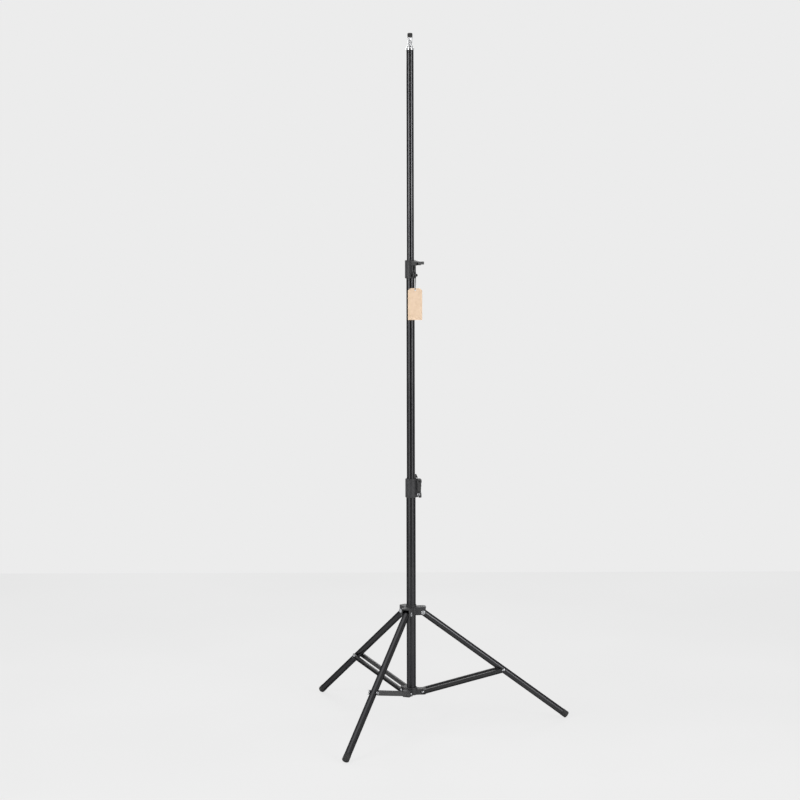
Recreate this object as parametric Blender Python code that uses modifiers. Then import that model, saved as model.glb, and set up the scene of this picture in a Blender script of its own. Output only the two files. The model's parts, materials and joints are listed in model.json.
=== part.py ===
"""Folding light stand: a three-section tube mast with two lever clamps, on three braced legs.

Units are metres, +Z is up. The floor is z = 0, and the origin is the middle of the ground that the
stand covers, so the mast's axis stands a little to one side of it. Run in Blender 4.5.
"""
import math

import bmesh
import bpy
from mathutils import Matrix, Vector

GAP = 0.0003
PAST = 0.01

# Mast tubes
LOWER_TUBE_DIAMETER = 0.025
MIDDLE_TUBE_DIAMETER = 0.022
TOP_TUBE_DIAMETER = 0.019
TUBE_WALL = 0.001
LOWER_TUBE_LENGTH = 0.565
MIDDLE_TUBE_LENGTH = 0.624
TOP_TUBE_LENGTH = 0.630
MIDDLE_TUBE_INSERT = 0.060
TOP_TUBE_INSERT = 0.075
PLUG_DEPTH = 0.016
PLUG_HEAD = 0.003

# Spigot on the top tube
SPIGOT_RADIUS = 0.008
SPIGOT_NECK_RADIUS = 0.0063
SPIGOT_FLANGE_RADIUS = 0.0115
SPIGOT_FLANGE = 0.0042
SPIGOT_BASE = 0.0075
SPIGOT_NECK = 0.0175
SPIGOT_HEAD = 0.0032
SPIGOT_CROWN = 0.0014
SPIGOT_SHANK = 0.025
SPIGOT_CHAMFER = 0.0008
SPIGOT_SLOPE = 0.0012
THREAD_RADIUS = 0.0031
THREAD_LENGTH = 0.0095
CAP_RADIUS = 0.0068
CAP_HEIGHT = 0.0112
CAP_CORNER = 0.003

# Legs, seen in a plane through the mast's axis
LEG_AZIMUTHS = {"right": 6.7, "rear": 126.7, "front": 246.7}
LEG_SPREAD = 53.1
LEG_LENGTH = 0.502
LEG_DIAMETER = 0.018
LEG_PIVOT_RADIUS = 0.031
FOOT_DIAMETER = 0.019
FOOT_LENGTH = 0.018
FOOT_ROUNDING = 0.0025
FOOT_PLUG = 0.014
FOOT_RIM = 0.0005

# Braces: a pair of channels for each leg, held off it by the shoulders of their rivets
BRACE_PIVOT_RADIUS = 0.030
BRACE_LENGTH = 0.229
BRACE_ON_LEG = 0.277
BRACE_WIDTH = 0.012
BRACE_DEPTH = 0.0052
BRACE_SHEET = 0.001
BRACE_STANDS_OFF = 0.002

# Leg collar
LEG_COLLAR_REACH = 0.040
LEG_COLLAR_PLATE = 0.003
LEG_COLLAR_STOP = 0.012
LEG_COLLAR_SKIRT = 0.007
LEG_COLLAR_CORNER = 0.008
COLLAR_EDGE = 0.0006
CHEEK_THICKNESS = 0.004
CHEEK_PLAY = 0.0005
COLLAR_WALL = 0.0026
BUSH_WALL = 0.0013
BUSH_LIP = 0.006
BUSH_EDGE = 0.0004

# Brace collar
BRACE_COLLAR_REACH = 0.039
TONGUE_HALF_HEIGHT = 0.008
BRACE_COLLAR_LIP = 0.004
BRACE_COLLAR_FLOOR = 0.002
BRACE_COLLAR_CORNER = 0.005

# Rivets
LEG_RIVET_RADIUS = 0.003
LEG_RIVET_HEAD = 0.0058
BRACE_RIVET_RADIUS = 0.0025
BRACE_RIVET_HEAD = 0.0045
BRACE_RIVET_SHOULDER = 0.0048
FOOT_RIVET_HEAD = 0.004
RIVET_HEAD_HEIGHT = 0.0018
RIVET_CROWN = 0.65
RIVET_SHOULDER = 0.0004
RIVET_EDGE = 0.0005
HOLE_PLAY = 0.0003

# Clamps. Radial sizes count from the clamped tube's own radius or the collar's outer radius.
CLAMP_HEIGHTS = {"lower": 0.052, "upper": 0.049}
CLAMP_AZIMUTHS = {"lower": 0.0, "upper": -63.0}
CLAMP_OPEN = {"lower": 0.0, "upper": 90.0}
CLAMP_RADII = {"lower": 0.0152, "upper": 0.01475}
SHOE_RISES = {"lower": 0.0115, "upper": 0.0}
SHOE_NECK = 0.0027
SHOE_LEDGE = 0.0016
SHOE_OVERHANG = 0.0025
NUT_STANDS_OFF = {"lower": 0.0, "upper": 0.0018}
CLAMP_SEAT = 0.0237
CLAMP_BORE_PLAY = 0.0003
EAR_HALF_WIDTH = 0.0048
SLIT_HALF_WIDTH = 0.001
POCKET_HALF_WIDTH = 0.0027
PIVOT_FROM_TOP = 0.0077
PIVOT_OUT = 0.0076
EAR_NECK_OUT = 0.0041
EAR_FOOT = 0.0008
EAR_DROP = 0.0006
EAR_HEEL = 0.003
EAR_CREST = 115
CLAMP_ROUNDING = 0.0022
LUG_RADIUS = 0.004
EAR_EDGE = 0.0005
LEVER_HEAD_RADIUS = 0.0064
LEVER_HALF_WIDTH = 0.008
LEVER_PLATE = 0.0034
LEVER_WAIST = 0.0014
LEVER_SKIRT_OVERLAP = 0.0014
SHOULDER_RISE = 0.006
LEVER_KNEE = ((0.0047, -0.0088), (0.0054, -0.0112), (0.0053, -0.0132), (0.0043, -0.0168))
LEVER_LIP = 0.0045
LEVER_LIP_HEIGHT = 0.0026
LEVER_TIP_RISE = 0.0002
LEVER_PIN_RADIUS = 0.0015
LEVER_PIN_INSET = 0.0004
SCREW_HEIGHT = 0.009
SCREW_OUT = 0.0055
SCREW_RADIUS = 0.0022
SCREW_BOSS = 0.0042
SCREW_HEAD_RADIUS = 0.0041
SCREW_HEAD_HEIGHT = 0.0024
SCREW_CROWN = 0.001
SCREW_SOCKET_RADIUS = 0.0021
SCREW_SOCKET_DEPTH = 0.0018
SCREW_END = 0.0005
NUT_RADIUS = 0.0040
NUT_HEIGHT = 0.0024

# Hang tag and its string, in front of the middle tube
TAG_WIDTH = 0.038
TAG_HEIGHT = 0.085
TAG_THICKNESS = 0.0006
TAG_CORNER = 0.006
TAG_HOLE_RADIUS = 0.0022
TAG_HOLE_FROM_TOP = 0.0055
TAG_HOLE_X = 0.0128
TAG_LEFT = -0.0069
TAG_PLANE_Y = -0.0172
TAG_HOLE_BELOW_CLAMP = 0.031
STRING_RADIUS = 0.0006

STEPS = 24
SMALL_STEPS = 12


def lowest_point(length, radius, rounding, spread):
    """Height from a leg's pivot down to the lowest point of its round-edged end."""
    return (length - rounding) * math.cos(spread) + (radius - rounding) * math.sin(spread) + rounding


SPREAD = math.radians(LEG_SPREAD)
LOWER_TUBE_RADIUS = LOWER_TUBE_DIAMETER / 2
MIDDLE_TUBE_RADIUS = MIDDLE_TUBE_DIAMETER / 2
TOP_TUBE_RADIUS = TOP_TUBE_DIAMETER / 2
LEG_RADIUS = LEG_DIAMETER / 2
FOOT_RADIUS = FOOT_DIAMETER / 2

LEG_PIVOT_Z = lowest_point(LEG_LENGTH, FOOT_RADIUS, FOOT_ROUNDING, SPREAD)
JOINT_OUT = LEG_PIVOT_RADIUS + BRACE_ON_LEG * math.sin(SPREAD) - BRACE_PIVOT_RADIUS
BRACE_RISE_HEIGHT = math.sqrt(BRACE_LENGTH ** 2 - JOINT_OUT ** 2)
BRACE_RISE = math.atan2(BRACE_RISE_HEIGHT, JOINT_OUT)
BRACE_PIVOT_Z = LEG_PIVOT_Z - BRACE_ON_LEG * math.cos(SPREAD) - BRACE_RISE_HEIGHT

LOWER_TUBE_FOOT = BRACE_PIVOT_Z - TONGUE_HALF_HEIGHT + BRACE_COLLAR_FLOOR + GAP
LOWER_CLAMP_Z = LOWER_TUBE_FOOT + LOWER_TUBE_LENGTH - CLAMP_SEAT
LOWER_CLAMP_TOP = LOWER_CLAMP_Z + CLAMP_HEIGHTS["lower"]
MIDDLE_TUBE_FOOT = LOWER_CLAMP_TOP - MIDDLE_TUBE_INSERT
UPPER_CLAMP_Z = MIDDLE_TUBE_FOOT + MIDDLE_TUBE_LENGTH - CLAMP_SEAT
UPPER_CLAMP_TOP = UPPER_CLAMP_Z + CLAMP_HEIGHTS["upper"]
TOP_TUBE_FOOT = UPPER_CLAMP_TOP - TOP_TUBE_INSERT
SPIGOT_Z = TOP_TUBE_FOOT + TOP_TUBE_LENGTH + GAP

BRACE_INNER = LEG_RADIUS + BRACE_STANDS_OFF
TONGUE_HALF_WIDTH = BRACE_INNER - GAP
CHEEK_INNER = LEG_RADIUS + CHEEK_PLAY
CHEEK_OUTER = CHEEK_INNER + CHEEK_THICKNESS
BUSH_INNER = LOWER_TUBE_RADIUS + GAP
BUSH_OUTER = BUSH_INNER + BUSH_WALL
HUB_RADIUS = BUSH_OUTER + GAP + COLLAR_WALL


def ground_middle():
    """Middle of the box round the three feet, from the mast's axis."""
    down = Vector((0, 0, -math.cos(SPREAD)))
    lows, highs = [], []
    for azimuth in LEG_AZIMUTHS.values():
        out = Vector((math.cos(math.radians(azimuth)), math.sin(math.radians(azimuth)), 0))
        along = out * math.sin(SPREAD) + down
        end = out * LEG_PIVOT_RADIUS + along * (LEG_LENGTH - FOOT_ROUNDING)
        flat = FOOT_RADIUS - FOOT_ROUNDING
        reach = [flat * math.sqrt(1 - along[k] ** 2) + FOOT_ROUNDING for k in range(2)]
        lows.append([end[k] - reach[k] for k in range(2)])
        highs.append([end[k] + reach[k] for k in range(2)])
    return [(min(low[k] for low in lows) + max(high[k] for high in highs)) / 2 for k in range(2)]


def clear_scene():
    for obj in list(bpy.data.objects):
        bpy.data.objects.remove(obj, do_unlink=True)


def new_collection(name):
    collection = bpy.data.collections.new(name)
    bpy.context.scene.collection.children.link(collection)
    return collection


clear_scene()
PARTS = new_collection("light_stand")
CUTTERS = new_collection("cutters")
CUTTERS.hide_render = True


def hex_colour(code):
    """sRGB hex to linear."""
    channels = [int(code[k:k + 2], 16) / 255 for k in (0, 2, 4)]
    return [c / 12.92 if c <= 0.04045 else ((c + 0.055) / 1.055) ** 2.4 for c in channels] + [1.0]


def surface(name, code, roughness, metallic=0.0):
    made = bpy.data.materials.new(name)
    made.use_nodes = True
    shader = made.node_tree.nodes["Principled BSDF"]
    shader.inputs["Base Color"].default_value = hex_colour(code)
    shader.inputs["Roughness"].default_value = roughness
    shader.inputs["Metallic"].default_value = metallic
    return made


BLACK_TUBE = surface("black_anodised_tube", "2a2a2b", 0.38, 0.6)
BLACK_SHEET = surface("black_painted_sheet", "343536", 0.42, 0.3)
BLACK_PLASTIC = surface("black_moulded_plastic", "3c3d3e", 0.55)
GREY_PLASTIC = surface("grey_moulded_plastic", "48494a", 0.5)
BRIGHT_STEEL = surface("bright_steel", "c9c9c8", 0.3, 1.0)
BLACK_STEEL = surface("blackened_steel", "2c2c2d", 0.45, 1.0)
CHROME = surface("chrome", "dedede", 0.1, 1.0)
RUBBER = surface("black_rubber", "2b2b2b", 0.7)
KRAFT = surface("kraft_card", "f0d2af", 0.85)
STRING = surface("black_string", "232324", 0.9)
SCREW_FINISHES = {"lower": BRIGHT_STEEL, "upper": BLACK_STEEL}


def empty(name, parent=None, location=(0, 0, 0), azimuth=0.0):
    made = bpy.data.objects.new(name, None)
    PARTS.objects.link(made)
    made.parent = parent
    made.location = location
    made.rotation_euler = (0, 0, math.radians(azimuth))
    return made


MIDDLE = ground_middle()
STAND = empty("stand", location=(-MIDDLE[0], -MIDDLE[1], 0))


def arc(centre, radius, start, end, count):
    """Points on an arc in a plane, angles in degrees."""
    points = []
    for step in range(count + 1):
        angle = math.radians(start + (end - start) * step / count)
        points.append((centre[0] + radius * math.cos(angle), centre[1] + radius * math.sin(angle)))
    return points


def as_object(name, mesh, colour, parent, location=(0, 0, 0), rotation=(0, 0, 0)):
    made = bpy.data.objects.new(name, mesh)
    PARTS.objects.link(made)
    made.parent = parent
    made.location = location
    made.rotation_euler = rotation
    if not mesh.materials:
        mesh.materials.append(colour)
    return made


def baked(obj, smooth_angle=35):
    """Evaluated mesh of an object with its modifiers applied; the object goes."""
    bpy.context.view_layer.update()
    mesh = bpy.data.meshes.new_from_object(obj.evaluated_get(bpy.context.evaluated_depsgraph_get()))
    mesh.name = obj.name
    bpy.data.objects.remove(obj, do_unlink=True)
    work = bmesh.new()
    work.from_mesh(mesh)
    bmesh.ops.remove_doubles(work, verts=work.verts, dist=0.000005)
    work.to_mesh(mesh)
    work.free()
    mesh.materials.clear()
    mesh.shade_smooth()
    mesh.set_sharp_from_angle(angle=math.radians(smooth_angle))
    return mesh


def turned(name, profile, closed=False, steps=STEPS):
    """Mesh turned about Z from (radius, z) points that run down the outer side."""
    mesh = bpy.data.meshes.new(name)
    edges = [(k, k + 1) for k in range(len(profile) - 1)]
    if closed:
        edges.append((len(profile) - 1, 0))
    mesh.from_pydata([(radius, 0, z) for radius, z in profile], edges, [])
    obj = bpy.data.objects.new(name, mesh)
    CUTTERS.objects.link(obj)
    screw = obj.modifiers.new("turn", "SCREW")
    screw.axis = "Z"
    screw.angle = math.tau
    screw.steps = steps
    screw.render_steps = steps
    screw.use_merge_vertices = True
    screw.merge_threshold = 0.00001
    return baked(obj)


def ring(name, inner, outer, low, high, edge=0.0, steps=STEPS):
    """Plain ring, its outer corners broken by edge."""
    profile = [(inner, high), (outer - edge, high)]
    if edge:
        profile.append((outer, high - edge))
        profile.append((outer, low + edge))
    else:
        profile.append((outer, high))
    profile += [(outer - edge, low), (inner, low)]
    return turned(name, profile, closed=True, steps=steps)


def slab(name, outlines, low, high, edge=0.0):
    """Flat outlines in XY, the first with the others as holes, as a mesh from low to high in Z."""
    curve = bpy.data.curves.new(name, "CURVE")
    curve.dimensions = "2D"
    curve.fill_mode = "BOTH"
    curve.extrude = (high - low) / 2
    for outline in outlines:
        spline = curve.splines.new("POLY")
        spline.points.add(len(outline) - 1)
        for point, (x, y) in zip(spline.points, outline):
            point.co = (x, y, 0, 1)
        spline.use_cyclic_u = True
    obj = bpy.data.objects.new(name, curve)
    CUTTERS.objects.link(obj)
    mesh = baked(obj)
    mesh.transform(Matrix.Translation((0, 0, (low + high) / 2)))
    if edge:
        softened = bpy.data.objects.new(name, mesh)
        CUTTERS.objects.link(softened)
        bevel = softened.modifiers.new("edges", "BEVEL")
        bevel.width = edge
        bevel.segments = 1
        bevel.limit_method = "ANGLE"
        bevel.angle_limit = math.radians(50)
        mesh = baked(softened)
    return mesh


def upright(mesh):
    """Turn a slab from XY and Z to XZ and -Y."""
    mesh.transform(Matrix.Rotation(math.radians(90), 4, "X"))
    return mesh


def box(low, high):
    work = bmesh.new()
    bmesh.ops.create_cube(work, size=1)
    size = [high[k] - low[k] for k in range(3)]
    middle = [(high[k] + low[k]) / 2 for k in range(3)]
    work.transform(Matrix.Translation(middle) @ Matrix.Diagonal((*size, 1)))
    mesh = bpy.data.meshes.new("box")
    work.to_mesh(mesh)
    work.free()
    return mesh


def rod(radius, start, end, steps=SMALL_STEPS):
    """Cylinder between two points."""
    start, end = Vector(start), Vector(end)
    work = bmesh.new()
    bmesh.ops.create_cone(work, cap_ends=True, segments=steps, radius1=radius, radius2=radius,
                          depth=(end - start).length)
    turn = (end - start).to_track_quat("Z", "Y").to_matrix().to_4x4()
    work.transform(Matrix.Translation((start + end) / 2) @ turn)
    mesh = bpy.data.meshes.new("rod")
    work.to_mesh(mesh)
    work.free()
    mesh.shade_smooth()
    return mesh


def across(radius, half_length, x=0.0, z=0.0, steps=SMALL_STEPS):
    """Cylinder along Y."""
    return rod(radius, (x, -half_length, z), (x, half_length, z), steps)


def turned_copy(mesh, azimuth):
    copy = mesh.copy()
    copy.transform(Matrix.Rotation(math.radians(azimuth), 4, "Z"))
    return copy


def worked(name, mesh, tools):
    """Mesh after Booleans with (operation, mesh) tools, which go once they have been used."""
    base = bpy.data.objects.new(name, mesh)
    CUTTERS.objects.link(base)
    used = []
    for operation, tool_mesh in tools:
        tool = bpy.data.objects.new(name + "_tool", tool_mesh)
        tool.display_type = "WIRE"
        tool.hide_render = True
        CUTTERS.objects.link(tool)
        step = base.modifiers.new("work", "BOOLEAN")
        step.operation = operation
        step.solver = "EXACT"
        step.object = tool
        used.append(tool)
    result = baked(base)
    for tool in used:
        bpy.data.objects.remove(tool, do_unlink=True)
    return result


def plug(name, shank, depth, head, head_height, rounding=0.0008):
    """Stepped plug: its shank goes up into a tube from z = 0, its head hangs below."""
    profile = [(0, depth), (shank - rounding, depth), (shank, depth - rounding), (shank, -GAP),
               (head, -GAP), (head, rounding - head_height), (head - rounding, -head_height),
               (0, -head_height)]
    return turned(name, profile)


def dome(shank, head, base):
    """Half profile of a rivet's domed head above z = base, down to its shank."""
    top = base + RIVET_HEAD_HEIGHT
    return [(0, top), (head * RIVET_CROWN, top - RIVET_SHOULDER), (head, base + RIVET_EDGE),
            (head, base), (shank, base)]


def shoulder_rivet(name, shank, head, base, shoulder, shoulder_top, foot):
    """Domed head above z = base on a shank that widens to a shoulder and ends at z = foot."""
    profile = dome(shank, head, base) + [(shank, shoulder_top), (shoulder, shoulder_top),
                                         (shoulder, foot), (0, foot)]
    return turned(name, profile, steps=SMALL_STEPS)


def double_rivet(name, shank, head, base):
    """Rivet along Y with a domed head at each end."""
    half = dome(shank, head, base)
    profile = half + [(radius, -z) for radius, z in reversed(half)]
    return upright(turned(name, profile, steps=SMALL_STEPS))


def star(hub, half, reach, corner):
    """Outline of a hub with an arm for each leg, its sides half a width off the arm's line."""
    points = []
    azimuths = list(LEG_AZIMUTHS.values())
    spacing = 360 / len(azimuths)
    meeting = half / math.tan(math.radians(spacing / 2))
    root_x = math.sqrt(max(hub ** 2 - half ** 2, meeting ** 2))
    root_angle = math.degrees(math.atan2(half, root_x))
    for azimuth in azimuths:
        arm = [(root_x, -half)]
        arm += arc((reach - corner, corner - half), corner, -90, 0, 4)
        arm += arc((reach - corner, half - corner), corner, 0, 90, 4)
        arm.append((root_x, half))
        turn = math.radians(azimuth)
        for x, y in arm:
            points.append((x * math.cos(turn) - y * math.sin(turn),
                           x * math.sin(turn) + y * math.cos(turn)))
        if root_angle < spacing / 2 - 0.5:
            gap_arc = arc((0, 0), hub, azimuth + root_angle, azimuth + spacing - root_angle, 5)
            points += gap_arc[1:-1]
    return points


def circle(radius, centre=(0, 0), steps=STEPS):
    return arc(centre, radius, 0, 360, steps)[:-1]


def make_tube(name, radius, length, foot):
    mesh = ring(name, radius - TUBE_WALL, radius, 0, length)
    return as_object(name, mesh, BLACK_TUBE, STAND, (0, 0, foot))


def make_mast():
    make_tube("lower_tube", LOWER_TUBE_RADIUS, LOWER_TUBE_LENGTH, LOWER_TUBE_FOOT)
    make_tube("middle_tube", MIDDLE_TUBE_RADIUS, MIDDLE_TUBE_LENGTH, MIDDLE_TUBE_FOOT)
    make_tube("top_tube", TOP_TUBE_RADIUS, TOP_TUBE_LENGTH, TOP_TUBE_FOOT)
    sections = (("middle_tube_plug", MIDDLE_TUBE_RADIUS, LOWER_TUBE_RADIUS, MIDDLE_TUBE_FOOT),
                ("top_tube_plug", TOP_TUBE_RADIUS, MIDDLE_TUBE_RADIUS, TOP_TUBE_FOOT))
    for name, own, outside, foot in sections:
        mesh = plug(name, own - TUBE_WALL - GAP, PLUG_DEPTH, outside - TUBE_WALL - GAP, PLUG_HEAD)
        as_object(name, mesh, BLACK_PLASTIC, STAND, (0, 0, foot))


def make_spigot():
    neck_low = SPIGOT_FLANGE + SPIGOT_BASE
    head_low = neck_low + SPIGOT_NECK
    top = head_low + SPIGOT_HEAD
    thread_top = top + THREAD_LENGTH
    shank = TOP_TUBE_RADIUS - TUBE_WALL - GAP
    chamfer = SPIGOT_CHAMFER
    slope = SPIGOT_SLOPE
    profile = [(0, thread_top), (THREAD_RADIUS - chamfer, thread_top),
               (THREAD_RADIUS, thread_top - chamfer), (THREAD_RADIUS, top),
               (SPIGOT_RADIUS - SPIGOT_CROWN, top), (SPIGOT_RADIUS, top - SPIGOT_CROWN),
               (SPIGOT_RADIUS, head_low + slope), (SPIGOT_NECK_RADIUS, head_low),
               (SPIGOT_NECK_RADIUS, neck_low), (SPIGOT_RADIUS, neck_low - slope),
               (SPIGOT_RADIUS, SPIGOT_FLANGE), (SPIGOT_FLANGE_RADIUS - chamfer, SPIGOT_FLANGE),
               (SPIGOT_FLANGE_RADIUS, SPIGOT_FLANGE - chamfer), (SPIGOT_FLANGE_RADIUS, chamfer),
               (SPIGOT_FLANGE_RADIUS - chamfer, 0), (shank, 0), (shank, chamfer - SPIGOT_SHANK),
               (shank - chamfer, -SPIGOT_SHANK), (0, -SPIGOT_SHANK)]
    as_object("spigot", turned("spigot", profile), CHROME, STAND, (0, 0, SPIGOT_Z))
    bore = THREAD_RADIUS + GAP
    depth = THREAD_LENGTH + GAP
    crown = arc((CAP_RADIUS - CAP_CORNER, CAP_HEIGHT - CAP_CORNER), CAP_CORNER, 90, 0, 4)
    cap = [(0, CAP_HEIGHT)] + crown + [(CAP_RADIUS, 0), (bore, 0), (bore, depth), (0, depth)]
    as_object("spigot_cap", turned("spigot_cap", cap), RUBBER, STAND, (0, 0, SPIGOT_Z + top + GAP))


def make_leg_collar():
    top = LEG_COLLAR_STOP + LEG_COLLAR_PLATE
    outlines = [star(HUB_RADIUS, CHEEK_OUTER, LEG_COLLAR_REACH, LEG_COLLAR_CORNER),
                circle(BUSH_OUTER + GAP)]
    mesh = slab("leg_collar", outlines, -LEG_COLLAR_SKIRT, top, edge=COLLAR_EDGE)
    slot = box((HUB_RADIUS, -CHEEK_INNER, -LEG_COLLAR_SKIRT - PAST),
               (LEG_COLLAR_REACH + PAST, CHEEK_INNER, LEG_COLLAR_STOP))
    hole = across(LEG_RIVET_RADIUS + HOLE_PLAY, CHEEK_OUTER + PAST, x=LEG_PIVOT_RADIUS)
    cuts = []
    for azimuth in LEG_AZIMUTHS.values():
        cuts.append(("DIFFERENCE", turned_copy(slot, azimuth)))
        cuts.append(("DIFFERENCE", turned_copy(hole, azimuth)))
    mesh = worked("leg_collar", mesh, cuts)
    as_object("leg_collar", mesh, BLACK_PLASTIC, STAND, (0, 0, LEG_PIVOT_Z))
    bush = ring("leg_collar_bush", BUSH_INNER, BUSH_OUTER, -LEG_COLLAR_SKIRT, top + BUSH_LIP, BUSH_EDGE)
    as_object("leg_collar_bush", bush, BLACK_PLASTIC, STAND, (0, 0, LEG_PIVOT_Z))


def make_brace_collar():
    outline = star(HUB_RADIUS, TONGUE_HALF_WIDTH, BRACE_COLLAR_REACH, BRACE_COLLAR_CORNER)
    mesh = slab("brace_collar", [outline], -TONGUE_HALF_HEIGHT, TONGUE_HALF_HEIGHT, edge=COLLAR_EDGE)
    lip_top = TONGUE_HALF_HEIGHT + BRACE_COLLAR_LIP
    lip = rod(HUB_RADIUS - COLLAR_EDGE, (0, 0, 0), (0, 0, lip_top), STEPS)
    floor = BRACE_COLLAR_FLOOR - TONGUE_HALF_HEIGHT
    seat = rod(BUSH_INNER, (0, 0, floor), (0, 0, lip_top + PAST), STEPS)
    hole = across(BRACE_RIVET_RADIUS + HOLE_PLAY, BRACE_INNER + PAST, x=BRACE_PIVOT_RADIUS)
    steps = [("UNION", lip), ("DIFFERENCE", seat)]
    for azimuth in LEG_AZIMUTHS.values():
        steps.append(("DIFFERENCE", turned_copy(hole, azimuth)))
    mesh = worked("brace_collar", mesh, steps)
    as_object("brace_collar", mesh, BLACK_PLASTIC, STAND, (0, 0, BRACE_PIVOT_Z))


def leg_meshes():
    """Leg tube and foot along -Z from the hinge; the tube's top edge meets the collar's plate."""
    overhang = (LEG_COLLAR_STOP - GAP - LEG_RADIUS * math.sin(SPREAD)) / math.cos(SPREAD)
    tube_foot = FOOT_LENGTH - LEG_LENGTH
    tube = ring("leg", LEG_RADIUS - TUBE_WALL, LEG_RADIUS, tube_foot, overhang)
    hole = across(LEG_RIVET_RADIUS + HOLE_PLAY, LEG_RADIUS + PAST)
    tube = worked("leg", tube, [("DIFFERENCE", hole)])
    shank = LEG_RADIUS - TUBE_WALL - GAP
    sole = arc((FOOT_RADIUS - FOOT_ROUNDING, FOOT_ROUNDING - LEG_LENGTH), FOOT_ROUNDING, 0, -90, 4)
    profile = [(0, tube_foot + FOOT_PLUG), (shank, tube_foot + FOOT_PLUG), (shank, tube_foot - GAP),
               (FOOT_RADIUS - FOOT_RIM, tube_foot - GAP), (FOOT_RADIUS, tube_foot - GAP - FOOT_RIM)]
    profile += sole + [(0, -LEG_LENGTH)]
    return tube, turned("foot", profile)


def brace_mesh():
    """Channel from its lower pivot along +X, its web towards the leg and its flanges towards +Y."""
    half = BRACE_WIDTH / 2
    outline = arc((BRACE_LENGTH, 0), half, -90, 90, 8) + arc((0, 0), half, 90, 270, 8)
    play = BRACE_RIVET_RADIUS + HOLE_PLAY
    holes = [circle(play, (0, 0), SMALL_STEPS), circle(play, (BRACE_LENGTH, 0), SMALL_STEPS)]
    mesh = upright(slab("brace", [outline] + holes, -BRACE_INNER - BRACE_DEPTH, -BRACE_INNER))
    trough = box((-half - PAST, BRACE_INNER + BRACE_SHEET, BRACE_SHEET - half),
                 (BRACE_LENGTH + half + PAST, BRACE_INNER + BRACE_DEPTH + PAST, half - BRACE_SHEET))
    return worked("brace", mesh, [("DIFFERENCE", trough)])


def make_legs():
    tube, foot = leg_meshes()
    brace = brace_mesh()
    leg_rivet = double_rivet("leg_rivet", LEG_RIVET_RADIUS, LEG_RIVET_HEAD, CHEEK_OUTER + GAP)
    web = BRACE_INNER + BRACE_SHEET + GAP
    foot_rivet = double_rivet("foot_rivet", BRACE_RIVET_RADIUS, FOOT_RIVET_HEAD, web)
    stub = upright(shoulder_rivet("stub", BRACE_RIVET_RADIUS, BRACE_RIVET_HEAD, web,
                                  BRACE_RIVET_SHOULDER, BRACE_INNER - GAP, LEG_RADIUS + GAP))
    stub.transform(Matrix.Translation((BRACE_LENGTH, 0, 0)))
    for leg, azimuth in LEG_AZIMUTHS.items():
        hinge = empty(leg + "_leg_hinge", empty(leg + "_arm", STAND, (0, 0, LEG_PIVOT_Z), azimuth),
                      (LEG_PIVOT_RADIUS, 0, 0))
        as_object("leg_" + leg, tube, BLACK_TUBE, hinge, rotation=(0, -SPREAD, 0))
        as_object("foot_" + leg, foot, RUBBER, hinge, rotation=(0, -SPREAD, 0))
        as_object("leg_rivet_" + leg, leg_rivet, BRIGHT_STEEL, hinge)
        pivot = empty(leg + "_brace_hinge", empty(leg + "_tongue", STAND, (0, 0, BRACE_PIVOT_Z),
                                                  azimuth), (BRACE_PIVOT_RADIUS, 0, 0))
        as_object("brace_collar_rivet_" + leg, foot_rivet, BRIGHT_STEEL, pivot)
        for side, turn in (("first", 0), ("second", math.pi)):
            frame = empty(leg + "_" + side + "_rise", pivot)
            frame.rotation_euler = (0, -BRACE_RISE, 0)
            as_object("brace_" + leg + "_" + side, brace, BLACK_SHEET, frame, rotation=(turn, 0, 0))
            as_object("brace_leg_rivet_" + leg + "_" + side, stub, BRIGHT_STEEL, frame,
                      rotation=(turn, 0, 0))


def clamp_places(which):
    """Outer radius, pivot and screw of a clamp, as (x, z) from its foot on the mast's axis."""
    radius = CLAMP_RADII[which]
    pivot = (radius + PIVOT_OUT, CLAMP_HEIGHTS[which] - PIVOT_FROM_TOP)
    return radius, pivot, (radius + SCREW_OUT, SCREW_HEIGHT)


def lever_shoulder(screw_x, neck):
    """Where the closed lever's inner side steps in above the boss: x, and height above the screw."""
    inner = screw_x + SCREW_BOSS + GAP
    return [(inner, SHOULDER_RISE), (inner - 0.001, SHOULDER_RISE + 0.0014),
            (neck + 0.001, SHOULDER_RISE + 0.003), (neck, SHOULDER_RISE + 0.0045)]


def ear_outline(which):
    """Side outline of the two ears: a boss round the screw, a neck and a lug round the pivot.

    Between boss and neck it keeps the clearance to the closed lever's inner side, and its crest
    to the lever's head.
    """
    radius, pivot, screw = clamp_places(which)
    back = radius - EAR_FOOT
    neck = radius + EAR_NECK_OUT
    high = CLAMP_HEIGHTS[which] - EAR_DROP
    head_meets = 180 - math.degrees(math.asin(LUG_RADIUS / (LEVER_HEAD_RADIUS + GAP)))
    points = [(back, EAR_FOOT), (screw[0] - EAR_HEEL, EAR_FOOT)]
    points += arc(screw, SCREW_BOSS, -60, 0, 3)
    points += [(x - GAP, screw[1] + rise - GAP) for x, rise in lever_shoulder(screw[0], neck + GAP)]
    points += [(neck, pivot[1] - LUG_RADIUS)]
    points += arc(pivot, LUG_RADIUS, -90, 135, 8)
    points += arc(pivot, LEVER_HEAD_RADIUS + GAP, head_meets, EAR_CREST, 3)
    points += [(points[-1][0], high), (back, high)]
    return points


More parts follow.
